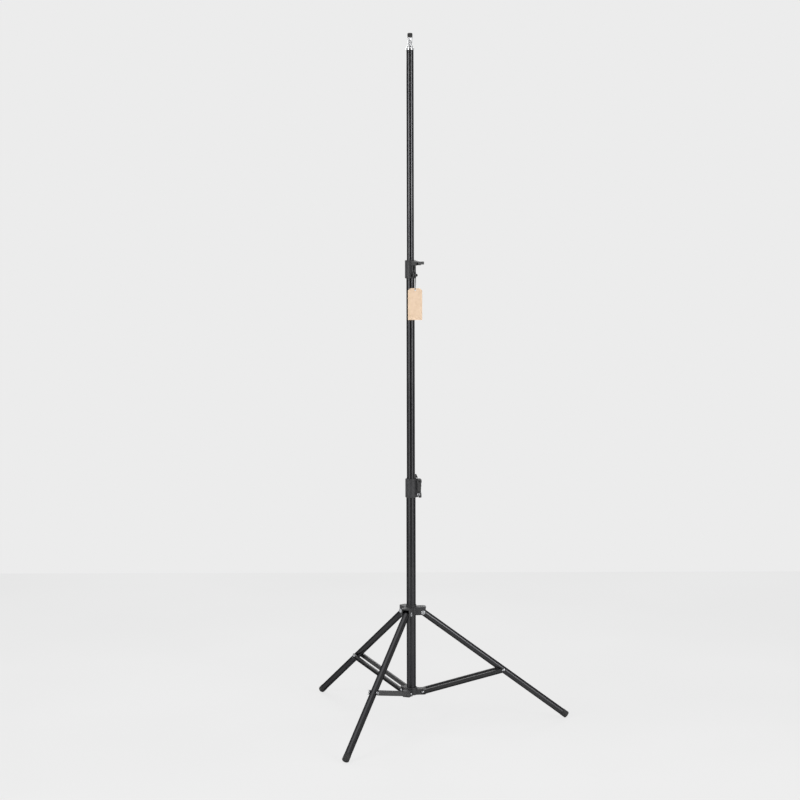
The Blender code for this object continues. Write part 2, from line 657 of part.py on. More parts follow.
def clamp_collar_mesh(which, outside, inside):
    """Split collar: its foot sits on the outside tube, its top closes on the inside tube."""
    radius, pivot, screw = clamp_places(which)
    height = CLAMP_HEIGHTS[which]
    step = CLAMP_SEAT + GAP
    rounding = CLAMP_ROUNDING
    wide, narrow = outside + CLAMP_BORE_PLAY, inside + CLAMP_BORE_PLAY
    profile = [(narrow, height)]
    profile += arc((radius - rounding, height - rounding), rounding, 90, 0, 3)
    profile += arc((radius - rounding, rounding), rounding, 0, -90, 3)
    profile += [(wide, 0), (wide, step), (narrow, step)]
    body = turned("clamp", profile, closed=True)
    ears = slab("ears", [ear_outline(which)], -EAR_HALF_WIDTH, EAR_HALF_WIDTH, edge=EAR_EDGE)
    slit = box((narrow / 2, -SLIT_HALF_WIDTH, -PAST), (radius * 2, SLIT_HALF_WIDTH, height + PAST))
    pocket = box((narrow / 2, -POCKET_HALF_WIDTH, step), (radius * 2, POCKET_HALF_WIDTH, height + PAST))
    return worked("clamp", body, [
        ("UNION", upright(ears)), ("DIFFERENCE", slit), ("DIFFERENCE", pocket),
        ("DIFFERENCE", across(LEVER_PIN_RADIUS + HOLE_PLAY, EAR_HALF_WIDTH + PAST, *pivot)),
        ("DIFFERENCE", across(SCREW_RADIUS + HOLE_PLAY, EAR_HALF_WIDTH + PAST, *screw))])


def lever_outline(which):
    """Side outline from the pivot: round head, knee, waist, and a lip that hooks under the boss.

    Above the boss its sides reach over the ears' edge, so that no light shows between them.
    """
    radius, pivot, screw = clamp_places(which)
    plate_in = screw[0] + SCREW_BOSS + GAP - pivot[0]
    plate_out = plate_in + LEVER_PLATE
    neck = radius + EAR_NECK_OUT - LEVER_SKIRT_OVERLAP - pivot[0]
    foot = -pivot[1]
    boss = foot + screw[1]
    tip = foot + LEVER_TIP_RISE
    waist = plate_out - LEVER_WAIST
    lip = plate_in - LEVER_LIP
    points = arc((0, 0), LEVER_HEAD_RADIUS, 205, -30, 14) + list(LEVER_KNEE)
    points += [(waist, boss + 0.0133), (waist, boss + 0.006), (plate_out - 0.0005, boss + 0.0015),
               (plate_out, boss - 0.0012), (plate_out, tip + 0.0022), (plate_out - 0.0008, tip + 0.0005),
               (plate_out - 0.0022, tip), (lip + 0.0006, tip), (lip, tip + 0.0006),
               (lip, foot + LEVER_LIP_HEIGHT), (plate_in - 0.0029, foot + 0.004),
               (plate_in, boss - 0.004)]
    points += [(x, boss + rise) for x, rise in lever_shoulder(screw[0] - pivot[0], neck)]
    points += [(neck, -0.0083)]
    return points, plate_in


def lever_mesh(which):
    """Lever in its closed pose, hanging from its pivot at the origin, its cam between the lugs."""
    outline, plate_in = lever_outline(which)
    radius, pivot = clamp_places(which)[:2]
    foot = -pivot[1]
    neck = radius + EAR_NECK_OUT + GAP - pivot[0]
    head = LEVER_HEAD_RADIUS
    solid = upright(slab("lever", [outline], -LEVER_HALF_WIDTH, LEVER_HALF_WIDTH, edge=EAR_EDGE))
    room = EAR_HALF_WIDTH + GAP
    cam = POCKET_HALF_WIDTH - GAP
    past = 2 * PAST
    relief = 0.0001
    cavity_low = foot + SCREW_HEIGHT - SCREW_BOSS - 2 * GAP
    cavity = box((-past, -room, cavity_low), (plate_in + relief, room, -head - relief))
    lug = LUG_RADIUS + GAP + relief
    slot = [(-past, -past), (neck + relief, -past), (neck + relief, -lug)] + arc((0, 0), lug, -90, 0, 8)
    slot += [(lug, past), (-past, past)]
    return worked("lever", solid, [
        ("DIFFERENCE", cavity),
        ("DIFFERENCE", upright(slab("slot", [slot], cam, room))),
        ("DIFFERENCE", upright(slab("slot", [slot], -room, -cam))),
        ("DIFFERENCE", across(LEVER_PIN_RADIUS + HOLE_PLAY, LEVER_HALF_WIDTH + PAST))])


def shoe_mesh(which, inside):
    """Brake shoe between the tube and the cam; where it rises, its top is a wedge over the ears."""
    pivot = clamp_places(which)[1]
    height = CLAMP_HEIGHTS[which]
    near = inside + GAP
    far = pivot[0] - LEVER_HEAD_RADIUS - GAP
    foot = CLAMP_SEAT + 2 * GAP
    rise = SHOE_RISES[which]
    outline = [(near, foot), (far - 0.001, foot), (far, foot + 0.002), (far, height - 0.0015)]
    if rise:
        neck = near + SHOE_NECK
        ledge = height + SHOE_LEDGE
        overhang = far + SHOE_OVERHANG
        outline += [(neck, height), (neck, ledge), (overhang, ledge), (overhang - 0.0004, ledge + 0.0016),
                    (neck + 0.001, height + rise - 0.0008), (neck - 0.0005, height + rise)]
    else:
        outline += [(far - 0.001, height - EAR_DROP)]
    outline.append((near, outline[-1][1]))
    half = POCKET_HALF_WIDTH - GAP
    return upright(slab("shoe", [outline], -half, half, edge=0.0003))


def screw_mesh(which):
    """Clamp screw, its button head towards -Y with a deep socket in it."""
    face = EAR_HALF_WIDTH + GAP
    top = face + SCREW_HEAD_HEIGHT
    end = -(face + NUT_STANDS_OFF[which] + NUT_HEIGHT + SCREW_END)
    crown = (SCREW_HEAD_RADIUS - SCREW_CROWN, top - SCREW_CROWN)
    profile = [(0, top)] + arc(crown, SCREW_CROWN, 90, 0, 3)
    profile += [(SCREW_HEAD_RADIUS, face), (SCREW_RADIUS, face), (SCREW_RADIUS, end + 0.0004),
                (SCREW_RADIUS - 0.0004, end), (0, end)]
    body = turned("screw", profile, steps=SMALL_STEPS)
    socket = rod(SCREW_SOCKET_RADIUS, (0, 0, top - SCREW_SOCKET_DEPTH), (0, 0, top + PAST), 6)
    return upright(worked("screw", body, [("DIFFERENCE", socket)]))


def nut_mesh(which):
    face = EAR_HALF_WIDTH + GAP + NUT_STANDS_OFF[which]
    outlines = [circle(NUT_RADIUS, steps=6), circle(SCREW_RADIUS + HOLE_PLAY, steps=SMALL_STEPS)]
    return upright(slab("nut", outlines, -face - NUT_HEIGHT, -face))


def make_clamp(which, outside, inside, foot):
    pivot, screw = clamp_places(which)[1:]
    frame = empty(which + "_clamp", STAND, (0, 0, foot), CLAMP_AZIMUTHS[which])
    name = which + "_clamp_"
    as_object(name + "collar", clamp_collar_mesh(which, outside, inside), BLACK_PLASTIC, frame)
    as_object(name + "shoe", shoe_mesh(which, inside), RUBBER, frame)
    at_pivot = (pivot[0], 0, pivot[1])
    opened = (0, -math.radians(CLAMP_OPEN[which]), 0)
    as_object(name + "lever", lever_mesh(which), GREY_PLASTIC, frame, at_pivot, opened)
    pin = across(LEVER_PIN_RADIUS, LEVER_HALF_WIDTH - LEVER_PIN_INSET)
    as_object(name + "pin", pin, BLACK_STEEL, frame, at_pivot)
    at_screw = (screw[0], 0, screw[1])
    as_object(name + "screw", screw_mesh(which), SCREW_FINISHES[which], frame, at_screw)
    as_object(name + "nut", nut_mesh(which), SCREW_FINISHES[which], frame, at_screw)


def make_tag():
    hole_z = UPPER_CLAMP_Z - TAG_HOLE_BELOW_CLAMP
    high = hole_z + TAG_HOLE_FROM_TOP
    low = high - TAG_HEIGHT
    right = TAG_LEFT + TAG_WIDTH
    outline = [(TAG_LEFT, low), (right, low), (right, high - TAG_CORNER), (right - TAG_CORNER, high),
               (TAG_LEFT + TAG_CORNER, high), (TAG_LEFT, high - TAG_CORNER)]
    hole = circle(TAG_HOLE_RADIUS, (TAG_HOLE_X, hole_z), SMALL_STEPS)
    half = TAG_THICKNESS / 2
    card = upright(slab("hang_tag", [outline, hole], -half, half))
    as_object("hang_tag", card, KRAFT, STAND, (0, TAG_PLANE_Y, 0))


# String route in millimetres from the mast's axis and the upper clamp's foot: over the clamp
# screw, down in front of the tag, back through its hole and up behind it to the screw again
STRING_ROUTE = (
    (14.7, -15.8, 12.0),
    (15.5, -17.2, 11.1),
    (15.8, -18.0, 9.5),
    (15.8, -17.9, 8.0),
    (15.4, -17.2, 6.4),
    (14.8, -15.9, 5.0),
    (14.2, -14.9, 3.6),
    (14.0, -14.4, 1.6),
    (14.0, -14.5, -2.0),
    (14.2, -15.2, -6.0),
    (13.9, -17.2, -13.0),
    (13.6, -18.9, -20.0),
    (12.9, -19.3, -26.0),
    (12.8, -18.9, -28.4),
    (12.8, -18.1, -29.8),
    (12.8, -17.2, -30.2),
    (12.8, -16.3, -29.8),
    (12.8, -15.5, -28.4),
    (12.9, -15.1, -26.0),
    (13.3, -14.9, -20.0),
    (13.2, -13.8, -6.0),
    (13.2, -13.1, 2.0),
    (13.2, -12.9, 5.4),
    (13.2, -12.8, 8.0),
    (13.2, -12.7, 9.5),
    (13.5, -13.5, 11.1),
    (14.2, -14.7, 11.9),
)


def smooth_route(points, per_stretch):
    """Points on a smooth curve through the route's own points."""
    ends = [points[0] * 2 - points[1]] + points + [points[-1] * 2 - points[-2]]
    result = []
    for a, b, c, d in zip(ends, ends[1:], ends[2:], ends[3:]):
        for step in range(per_stretch):
            t = step / per_stretch
            result.append(0.5 * (b * 2 + (c - a) * t + (a * 2 - b * 5 + c * 4 - d) * t ** 2
                                 + (b * 3 - a - c * 3 + d) * t ** 3))
    return result + [points[-1]]


def make_string():
    route = [Vector((x, y, z)) / 1000 + Vector((0, 0, UPPER_CLAMP_Z)) for x, y, z in STRING_ROUTE]
    points = smooth_route(route, 2)
    curve = bpy.data.curves.new("tag_string", "CURVE")
    curve.dimensions = "3D"
    curve.bevel_depth = STRING_RADIUS
    curve.bevel_resolution = 2
    curve.use_fill_caps = True
    spline = curve.splines.new("POLY")
    spline.points.add(len(points) - 1)
    for point, place in zip(spline.points, points):
        point.co = (*place, 1)
    obj = bpy.data.objects.new("tag_string", curve)
    CUTTERS.objects.link(obj)
    as_object("tag_string", baked(obj), STRING, STAND)


make_mast()
make_spigot()
make_leg_collar()
make_brace_collar()
make_legs()
make_clamp("lower", LOWER_TUBE_RADIUS, MIDDLE_TUBE_RADIUS, LOWER_CLAMP_Z)
make_clamp("upper", MIDDLE_TUBE_RADIUS, TOP_TUBE_RADIUS, UPPER_CLAMP_Z)
make_tag()
make_string()
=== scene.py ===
"""Looks of the folding light stand: fine surfaces, tag string, camera, floor and studio light.

Units are metres, +Z is up. Places come from the stand's own solids.
"""

import json
import math

import bmesh
import bpy
from mathutils import Matrix, Vector


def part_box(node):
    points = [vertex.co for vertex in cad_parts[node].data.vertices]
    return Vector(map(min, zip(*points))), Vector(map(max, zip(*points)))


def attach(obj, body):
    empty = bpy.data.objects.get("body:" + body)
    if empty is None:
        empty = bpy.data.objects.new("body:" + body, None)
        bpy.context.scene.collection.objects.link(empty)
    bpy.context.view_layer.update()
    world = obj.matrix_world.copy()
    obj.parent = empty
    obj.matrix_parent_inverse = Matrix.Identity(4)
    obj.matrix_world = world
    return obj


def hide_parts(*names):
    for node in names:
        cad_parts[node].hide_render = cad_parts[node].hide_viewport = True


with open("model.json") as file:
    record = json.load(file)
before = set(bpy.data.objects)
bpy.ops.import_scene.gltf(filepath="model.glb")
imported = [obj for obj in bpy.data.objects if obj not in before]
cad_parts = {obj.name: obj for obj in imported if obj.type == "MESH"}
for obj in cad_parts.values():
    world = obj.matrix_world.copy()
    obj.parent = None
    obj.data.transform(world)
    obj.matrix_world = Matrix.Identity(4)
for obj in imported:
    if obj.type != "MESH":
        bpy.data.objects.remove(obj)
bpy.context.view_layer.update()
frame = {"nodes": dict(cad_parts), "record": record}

GAP = 0.0003
FINE = 96
MEDIUM = 40
SMALL = 28


def low(node):
    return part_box(node)[0]


def high(node):
    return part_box(node)[1]


def middle(node):
    return (low(node) + high(node)) / 2


def hinge(name):
    """A hinge's place, its distance from the mast's axis and its azimuth in degrees."""
    for joint in frame["record"]["behaviour"]["joints"]:
        if joint["name"] == name:
            place = Vector(joint["pos_m"])
            out = place - MAST
            return place, out.xy.length, math.degrees(math.atan2(out[1], out[0]))


def radius_of(node):
    return (high(node)[1] - low(node)[1]) / 2


MAST = Vector((middle("lower_tube")[0], middle("lower_tube")[1], 0))
TUBE_WALL = 0.001
LOWER_RADIUS = radius_of("lower_tube")
MIDDLE_RADIUS = radius_of("middle_tube")
TOP_RADIUS = radius_of("top_tube")
LEGS = ("right", "rear", "front")
CLAMPS = {"lower": (LOWER_RADIUS, MIDDLE_RADIUS), "upper": (MIDDLE_RADIUS, TOP_RADIUS)}
CLAMP_BODIES = {"lower": ("root", "lower_lever"), "upper": ("middle_mast", "upper_lever")}
CLAMP_FOOT = {which: low(which + "_clamp_collar")[2] for which in CLAMPS}
CLAMP_HEIGHT = {which: high(which + "_clamp_collar")[2] - CLAMP_FOOT[which] for which in CLAMPS}

LEG_SPREAD = math.radians(53.1)
LEG_LENGTH = 0.502
LEG_RADIUS = 0.009
FOOT_LENGTH = 0.018
FOOT_RADIUS = 0.0095
BRACE_LENGTH = 0.229
BRACE_HALF = 0.006
BRACE_DEPTH = 0.0052
BRACE_SHEET = 0.001
BRACE_STANDS_OFF = 0.002
BRACE_CLIMB = high("brace_right_first")[2] - low("brace_right_first")[2] - 2 * BRACE_HALF
BRACE_RISE = math.asin(BRACE_CLIMB / BRACE_LENGTH)


def make_camera():
    """Long lens from standing eye height, a little to the left of the mast."""
    data = bpy.data.cameras.new("camera")
    data.sensor_width = 36
    data.lens = 94.6
    data.clip_end = 60
    camera = bpy.data.objects.new("camera", data)
    bpy.context.scene.collection.objects.link(camera)
    tilt_down = math.radians(6.19)
    roll = -0.00278
    place = Matrix.Translation(MAST + Vector((-0.02888, -5.62708, 1.49842)))
    aim = Matrix.Rotation(math.pi / 2 - tilt_down, 4, "X") @ Matrix.Rotation(roll, 4, "Z")
    camera.matrix_world = place @ aim
    bpy.context.scene.camera = camera


make_camera()


# Materials


def linear(code):
    """sRGB hex to linear colour."""
    channels = [int(code[k:k + 2], 16) / 255 for k in (0, 2, 4)]
    return [c / 12.92 if c <= 0.04045 else ((c + 0.055) / 1.055) ** 2.4 for c in channels] + [1.0]


def add(tree, kind, inputs=(), **settings):
    """Add a node with its settings; each input takes a value or another node's output."""
    node = tree.nodes.new("ShaderNode" + kind)
    for name, value in settings.items():
        setattr(node, name, value)
    for key, value in dict(inputs).items():
        if isinstance(value, bpy.types.NodeSocket):
            tree.links.new(value, node.inputs[key])
        else:
            node.inputs[key].default_value = value
    return node


def material(name, **sockets):
    """Material with its shader's sockets set, its node tree and its shader."""
    made = bpy.data.materials.new(name)
    made.use_nodes = True
    shader = made.node_tree.nodes["Principled BSDF"]
    for key, value in sockets.items():
        shader.inputs[key.replace("_", " ")].default_value = value
    return made, made.node_tree, shader


def grain(tree, millimetres, detail=2.0):
    """Noise in the piece's own space whose features are this many millimetres along X, Y and Z."""
    place = add(tree, "TexCoord").outputs["Object"]
    scale = [1000 / size for size in millimetres]
    stretched = add(tree, "Mapping", {"Vector": place, "Scale": scale})
    return add(tree, "TexNoise", {"Vector": stretched.outputs[0], "Scale": 1.0, "Detail": detail})


def tinted(tree, shader, factor, first, second, low_at=0.35, high_at=0.65):
    """Base colour that goes from one hex colour to another as the factor rises."""
    spread = add(tree, "MapRange", {"Value": factor, "From Min": low_at, "From Max": high_at})
    mixed = add(tree, "Mix", {0: spread.outputs[0], 6: linear(first), 7: linear(second)},
                data_type="RGBA")
    tree.links.new(mixed.outputs[2], shader.inputs["Base Color"])
    return mixed.outputs[2]


def varied(tree, shader, factor, least, most):
    """Roughness between two values."""
    spread = add(tree, "MapRange", {"Value": factor, "To Min": least, "To Max": most,
                                    "From Min": 0.3, "From Max": 0.7})
    tree.links.new(spread.outputs[0], shader.inputs["Roughness"])


def relief(tree, shader, height, millimetres, strength=1.0, under=None):
    """Bump of this depth in millimetres."""
    inputs = {"Height": height, "Distance": millimetres / 1000, "Strength": strength}
    if under:
        inputs["Normal"] = under
    bump = add(tree, "Bump", inputs)
    tree.links.new(bump.outputs[0], shader.inputs["Normal"])
    return bump.outputs[0]


def anodised_aluminium():
    """Drawn aluminium tube, black anodised: a dark satin metal with drawing lines along it.

    Its grey edge tint dims what the tube reflects at a slant, so its edges stay dark: painted shade.
    Real drawing lines are 0.05 mm apart; they are drawn 0.8 mm apart so that they show.
    """
    # The grey specular tint darkens the tube's slanting reflections at its edges: painted shade.
    made, tree, shader = material("anodised_aluminium_drawn", Metallic=1.0,
                                  Specular_Tint=linear("8f8f8f"))
    lines = grain(tree, (0.8, 0.8, 120), 1.0)
    clouds = grain(tree, (30, 30, 120))
    tinted(tree, shader, clouds.outputs[0], "3f3f41", "454546")
    varied(tree, shader, lines.outputs[0], 0.24, 0.3)
    relief(tree, shader, lines.outputs[0], 0.001)
    return made


def powder_coated_steel():
    """Pressed steel sheet, black powder coat: satin with a slight orange peel, 1.2 mm across."""
    made, tree, shader = material("powder_coated_steel_sheet", Specular_IOR_Level=0.5)
    peel = grain(tree, (1.2, 1.2, 1.2))
    dust = grain(tree, (14, 14, 14))
    tinted(tree, shader, dust.outputs[0], "1d1d1e", "262627")
    varied(tree, shader, peel.outputs[0], 0.3, 0.42)
    relief(tree, shader, peel.outputs[0], 0.03)
    return made


def glass_filled_nylon():
    """Injection moulded glass-filled nylon: charcoal, matte from the mould's spark-eroded texture.

    The texture's grit is about 0.1 mm; it is drawn at 0.7 mm so that it shows.
    """
    made, tree, shader = material("glass_filled_nylon_moulded", Specular_IOR_Level=0.5, IOR=1.53)
    grit = grain(tree, (0.7, 0.7, 0.7), 4.0)
    flow = grain(tree, (9, 9, 16))
    tinted(tree, shader, flow.outputs[0], "28282a", "323234")
    varied(tree, shader, grit.outputs[0], 0.46, 0.62)
    relief(tree, shader, grit.outputs[0], 0.035)
    return made


def abs_lever():
    """Injection moulded ABS: a shade lighter and smoother than the collars, rubbed by fingers."""
    made, tree, shader = material("abs_moulded", Specular_IOR_Level=0.5, IOR=1.54)
    grit = grain(tree, (0.9, 0.9, 0.9), 3.0)
    rub = grain(tree, (7, 7, 11))
    tinted(tree, shader, rub.outputs[0], "2e2e2f", "343435")
    varied(tree, shader, rub.outputs[0], 0.46, 0.58)
    relief(tree, shader, grit.outputs[0], 0.01)
    return made


def zinc_plated_steel():
    """Pressed steel rivet, zinc plated: bright, a little milky, with fine forming marks."""
    made, tree, shader = material("zinc_plated_steel", Metallic=1.0)
    marks = grain(tree, (0.6, 0.6, 0.6), 3.0)
    cloud = grain(tree, (3, 3, 3))
    tinted(tree, shader, cloud.outputs[0], "a9abae", "c6c7c9")
    varied(tree, shader, marks.outputs[0], 0.22, 0.38)
    relief(tree, shader, marks.outputs[0], 0.01)
    return made


def blackened_steel():
    """Cold-headed steel, black oxide: near black with a dull oily sheen."""
    made, tree, shader = material("black_oxide_steel", Metallic=1.0)
    marks = grain(tree, (0.5, 0.5, 0.5), 3.0)
    tinted(tree, shader, marks.outputs[0], "242425", "343435")
    varied(tree, shader, marks.outputs[0], 0.38, 0.55)
    relief(tree, shader, marks.outputs[0], 0.01)
    return made


def chrome_plate():
    """Turned steel, chrome plated: bright, softened by faint lathe rings, drawn 0.4 mm apart."""
    made, tree, shader = material("chrome_plated_steel_turned", Metallic=1.0)
    rings = grain(tree, (40, 40, 0.4))
    cloud = grain(tree, (5, 5, 5))
    tinted(tree, shader, cloud.outputs[0], "cccdcf", "dadadb")
    varied(tree, shader, rings.outputs[0], 0.14, 0.2)
    relief(tree, shader, rings.outputs[0], 0.001)
    return made


def rubber():
    """Moulded black rubber: matte, a little dusty grey."""
    made, tree, shader = material("rubber_moulded", Specular_IOR_Level=0.4, IOR=1.52)
    pores = grain(tree, (0.8, 0.8, 0.8), 3.0)
    dust = grain(tree, (5, 5, 5), 4.0)
    tinted(tree, shader, dust.outputs[0], "202021", "343434")
    varied(tree, shader, dust.outputs[0], 0.62, 0.82)
    relief(tree, shader, pores.outputs[0], 0.03)
    return made


def kraft_card():
    """Pulp board, pale kraft: matte, its fibres 0.3 by 2 mm and a cloudy tint."""
    made, tree, shader = material("kraft_card_rolled", Specular_IOR_Level=0.25)
    fibres = grain(tree, (0.3, 0.3, 2.0), 5.0)
    cloud = grain(tree, (9, 9, 9), 3.0)
    blend = add(tree, "Math", {0: fibres.outputs[0], 1: cloud.outputs[0]}, operation="MULTIPLY")
    tinted(tree, shader, blend.outputs[0], "d8bda1", "e4cbb2", 0.12, 0.38)
    varied(tree, shader, fibres.outputs[0], 0.8, 0.95)
    relief(tree, shader, fibres.outputs[0], 0.02)
    return made


def waxed_cord():
    """Twisted and waxed cotton: near black with a dull sheen, its strands 0.35 mm wide."""
    made, tree, shader = material("waxed_cotton_twisted", Sheen_Weight=0.1, Sheen_Roughness=0.5)
    strands = grain(tree, (0.35, 0.35, 0.5), 3.0)
    tinted(tree, shader, strands.outputs[0], "141415", "2a2a2b")
    varied(tree, shader, strands.outputs[0], 0.55, 0.8)
    relief(tree, shader, strands.outputs[0], 0.08)
    return made


ANODISED = anodised_aluminium()
COATED = powder_coated_steel()
NYLON = glass_filled_nylon()
LEVER = abs_lever()
ZINC = zinc_plated_steel()
BLACK_OXIDE = blackened_steel()
CHROME = chrome_plate()
RUBBER = rubber()
KRAFT = kraft_card()
CORD = waxed_cord()


# Shapes


def arc(centre, radius, start, end, count):
    """Points along an arc, angles in degrees."""
    angles = [math.radians(start + (end - start) * k / count) for k in range(count + 1)]
    return [(centre[0] + radius * math.cos(a), centre[1] + radius * math.sin(a)) for a in angles]


def circle(radius, centre=(0, 0), steps=MEDIUM):
    return arc(centre, radius, 0, 360, steps)[:-1]


def baked(obj):
    """Mesh of an object with its modifiers applied; the object goes."""
    bpy.context.view_layer.update()
    mesh = bpy.data.meshes.new_from_object(obj.evaluated_get(bpy.context.evaluated_depsgraph_get()))
    bpy.data.objects.remove(obj, do_unlink=True)
    work = bmesh.new()
    work.from_mesh(mesh)
    bmesh.ops.remove_doubles(work, verts=work.verts, dist=0.000004)
    work.to_mesh(mesh)
    work.free()
    return mesh


def scratch(data):
    obj = bpy.data.objects.new("scratch", data)
    bpy.context.scene.collection.objects.link(obj)
    return obj


def turned(profile, closed=False, steps=FINE):
    """Mesh turned about Z from (radius, z) points that run down the outer side."""
    mesh = bpy.data.meshes.new("turned")
    edges = [(k, k + 1) for k in range(len(profile) - 1)]
    if closed:
        edges.append((len(profile) - 1, 0))
    mesh.from_pydata([(radius, 0, z) for radius, z in profile], edges, [])
    obj = scratch(mesh)
    screw = obj.modifiers.new("turn", "SCREW")
    screw.angle = math.tau
    screw.steps = steps
    screw.render_steps = steps
    screw.use_merge_vertices = True
    screw.merge_threshold = 0.000005
    return baked(obj)


def softened(mesh, width, segments=3, angle=40):
    """Mesh with its sharp edges rounded."""
    obj = scratch(mesh)
    bevel = obj.modifiers.new("edges", "BEVEL")
    bevel.width = width
    bevel.segments = segments
    bevel.limit_method = "ANGLE"
    bevel.angle_limit = math.radians(angle)
    return baked(obj)


def slab(outlines, bottom, top, edge=0.0):
    """Flat outlines in XY, the first with the others as holes, as a mesh from bottom to top in Z."""
    curve = bpy.data.curves.new("slab", "CURVE")
    curve.dimensions = "2D"
    curve.fill_mode = "BOTH"
    curve.extrude = (top - bottom) / 2
    for outline in outlines:
        spline = curve.splines.new("POLY")
        spline.points.add(len(outline) - 1)
        for point, (x, y) in zip(spline.points, outline):
            point.co = (x, y, 0, 1)
        spline.use_cyclic_u = True
    mesh = baked(scratch(curve))
    mesh.transform(Matrix.Translation((0, 0, (bottom + top) / 2)))
    return softened(mesh, edge, angle=50) if edge else mesh


def upright(mesh):
    """Turn a slab from XY and Z to XZ and -Y."""
    mesh.transform(Matrix.Rotation(math.radians(90), 4, "X"))
    return mesh


def box(lowest, highest):
    work = bmesh.new()
    bmesh.ops.create_cube(work, size=1)
    size = [highest[k] - lowest[k] for k in range(3)]
    centre = [(highest[k] + lowest[k]) / 2 for k in range(3)]
    work.transform(Matrix.Translation(centre) @ Matrix.Diagonal((*size, 1)))
    mesh = bpy.data.meshes.new("box")
    work.to_mesh(mesh)
    work.free()
    return mesh


def rod(radius, start, end, steps=MEDIUM):
    """Cylinder between two points."""
    start, end = Vector(start), Vector(end)
    work = bmesh.new()
    bmesh.ops.create_cone(work, cap_ends=True, segments=steps, radius1=radius, radius2=radius,
                          depth=(end - start).length)
    turn = (end - start).to_track_quat("Z", "Y").to_matrix().to_4x4()
    work.transform(Matrix.Translation((start + end) / 2) @ turn)
    mesh = bpy.data.meshes.new("rod")
    work.to_mesh(mesh)
    work.free()
    return mesh


def across(radius, half_length, x=0.0, z=0.0):
    """Cylinder along Y."""
    return rod(radius, (x, -half_length, z), (x, half_length, z))


def turned_copy(mesh, azimuth):
    copy = mesh.copy()
    copy.transform(Matrix.Rotation(math.radians(azimuth), 4, "Z"))
    return copy


def worked(mesh, tools, edge=0.0):
    """Mesh after Booleans with (operation, mesh) tools, its edges then rounded."""
    base = scratch(mesh)
    used = []
    for operation, tool_mesh in tools:
        tool = scratch(tool_mesh)
        step = base.modifiers.new("work", "BOOLEAN")
        step.operation = operation
        step.solver = "EXACT"
        step.object = tool
        used.append(tool)
    result = baked(base)
    for tool in used:
        bpy.data.objects.remove(tool, do_unlink=True)
    return softened(result, edge, 2) if edge else result


def piece(name, mesh, finish, body, node, place=Matrix()):
    """A finished piece that stands for a solid of the stand and moves with its body."""
    mesh.name = name
    mesh.materials.clear()
    mesh.materials.append(finish)
    mesh.shade_smooth()
    mesh.set_sharp_from_angle(angle=math.radians(38))
    obj = bpy.data.objects.new(name, mesh)
    bpy.context.scene.collection.objects.link(obj)
    obj.matrix_world = place
    even = obj.modifiers.new("even_shading", "WEIGHTED_NORMAL")
    even.keep_sharp = True
    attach(obj, body)
    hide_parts(node)
    return obj


def about_mast(height, azimuth=0.0, out=0.0):
    """Frame on the mast's axis at a height, turned so that X points along an azimuth."""
    turn = Matrix.Rotation(math.radians(azimuth), 4, "Z")
    return Matrix.Translation(MAST + Vector((0, 0, height))) @ turn @ Matrix.Translation((out, 0, 0))


# String and tag

STRING_RADIUS = 0.0006
# Route in millimetres from the mast's axis and the upper clamp's foot: over the clamp screw,
# down in front of the tag, back through its hole and up behind it to the screw again
STRING_ROUTE = (
    (14.7, -15.8, 12.0),
    (15.5, -17.2, 11.1),
    (15.8, -18.0, 9.5),
    (15.8, -17.9, 8.0),
    (15.4, -17.2, 6.4),
    (14.8, -15.9, 5.0),
    (14.2, -14.9, 3.6),
    (14.0, -14.4, 1.6),
    (14.0, -14.5, -2.0),
    (14.2, -15.2, -6.0),
    (13.9, -17.2, -13.0),
    (13.6, -18.9, -20.0),
    (12.9, -19.3, -26.0),
    (12.8, -18.9, -28.4),
    (12.8, -18.1, -29.8),
    (12.8, -17.2, -30.2),
    (12.8, -16.3, -29.8),
    (12.8, -15.5, -28.4),
    (12.9, -15.1, -26.0),
    (13.3, -14.9, -20.0),
    (13.2, -13.8, -6.0),
    (13.2, -13.1, 2.0),
    (13.2, -12.9, 5.4),
    (13.2, -12.8, 8.0),
    (13.2, -12.7, 9.5),
    (13.5, -13.5, 11.1),
    (14.2, -14.7, 11.9),
)


def smooth_route(points, per_stretch):
    """Points on a smooth curve through the route's own points."""
    ends = [points[0] * 2 - points[1]] + points + [points[-1] * 2 - points[-2]]
    result = []
    for a, b, c, d in zip(ends, ends[1:], ends[2:], ends[3:]):
        for step in range(per_stretch):
            t = step / per_stretch
            result.append(0.5 * (b * 2 + (c - a) * t + (a * 2 - b * 5 + c * 4 - d) * t ** 2
                                 + (b * 3 - a - c * 3 + d) * t ** 3))
    return result + [points[-1]]


def dress(node, finish):
    """Give a solid that already has its real shape its finish."""
    obj = frame["nodes"][node]
    for at in range(len(obj.material_slots)):
        obj.material_slots[at].material = finish
    return obj


def make_string(tag):
    base = MAST + Vector((0, 0, CLAMP_FOOT["upper"]))
    route = [Vector(point) / 1000 + base for point in STRING_ROUTE]
    points = smooth_route(route, 4)
    curve = bpy.data.curves.new("tag_cord", "CURVE")
    curve.dimensions = "3D"
    curve.bevel_depth = STRING_RADIUS
    curve.bevel_resolution = 5
    curve.use_fill_caps = True
    spline = curve.splines.new("POLY")
    spline.points.add(len(points) - 1)
    for point, place in zip(spline.points, points):
        point.co = (*place, 1)
    curve.materials.append(CORD)
    obj = bpy.data.objects.new("tag_cord", curve)
    bpy.context.scene.collection.objects.link(obj)
    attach(obj, "middle_mast")
    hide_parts("tag_string")
    length = sum((b - a).length for a, b in zip(points, points[1:]))
    print("string length", round(length, 4))


make_string(dress("hang_tag", KRAFT))


# Mast


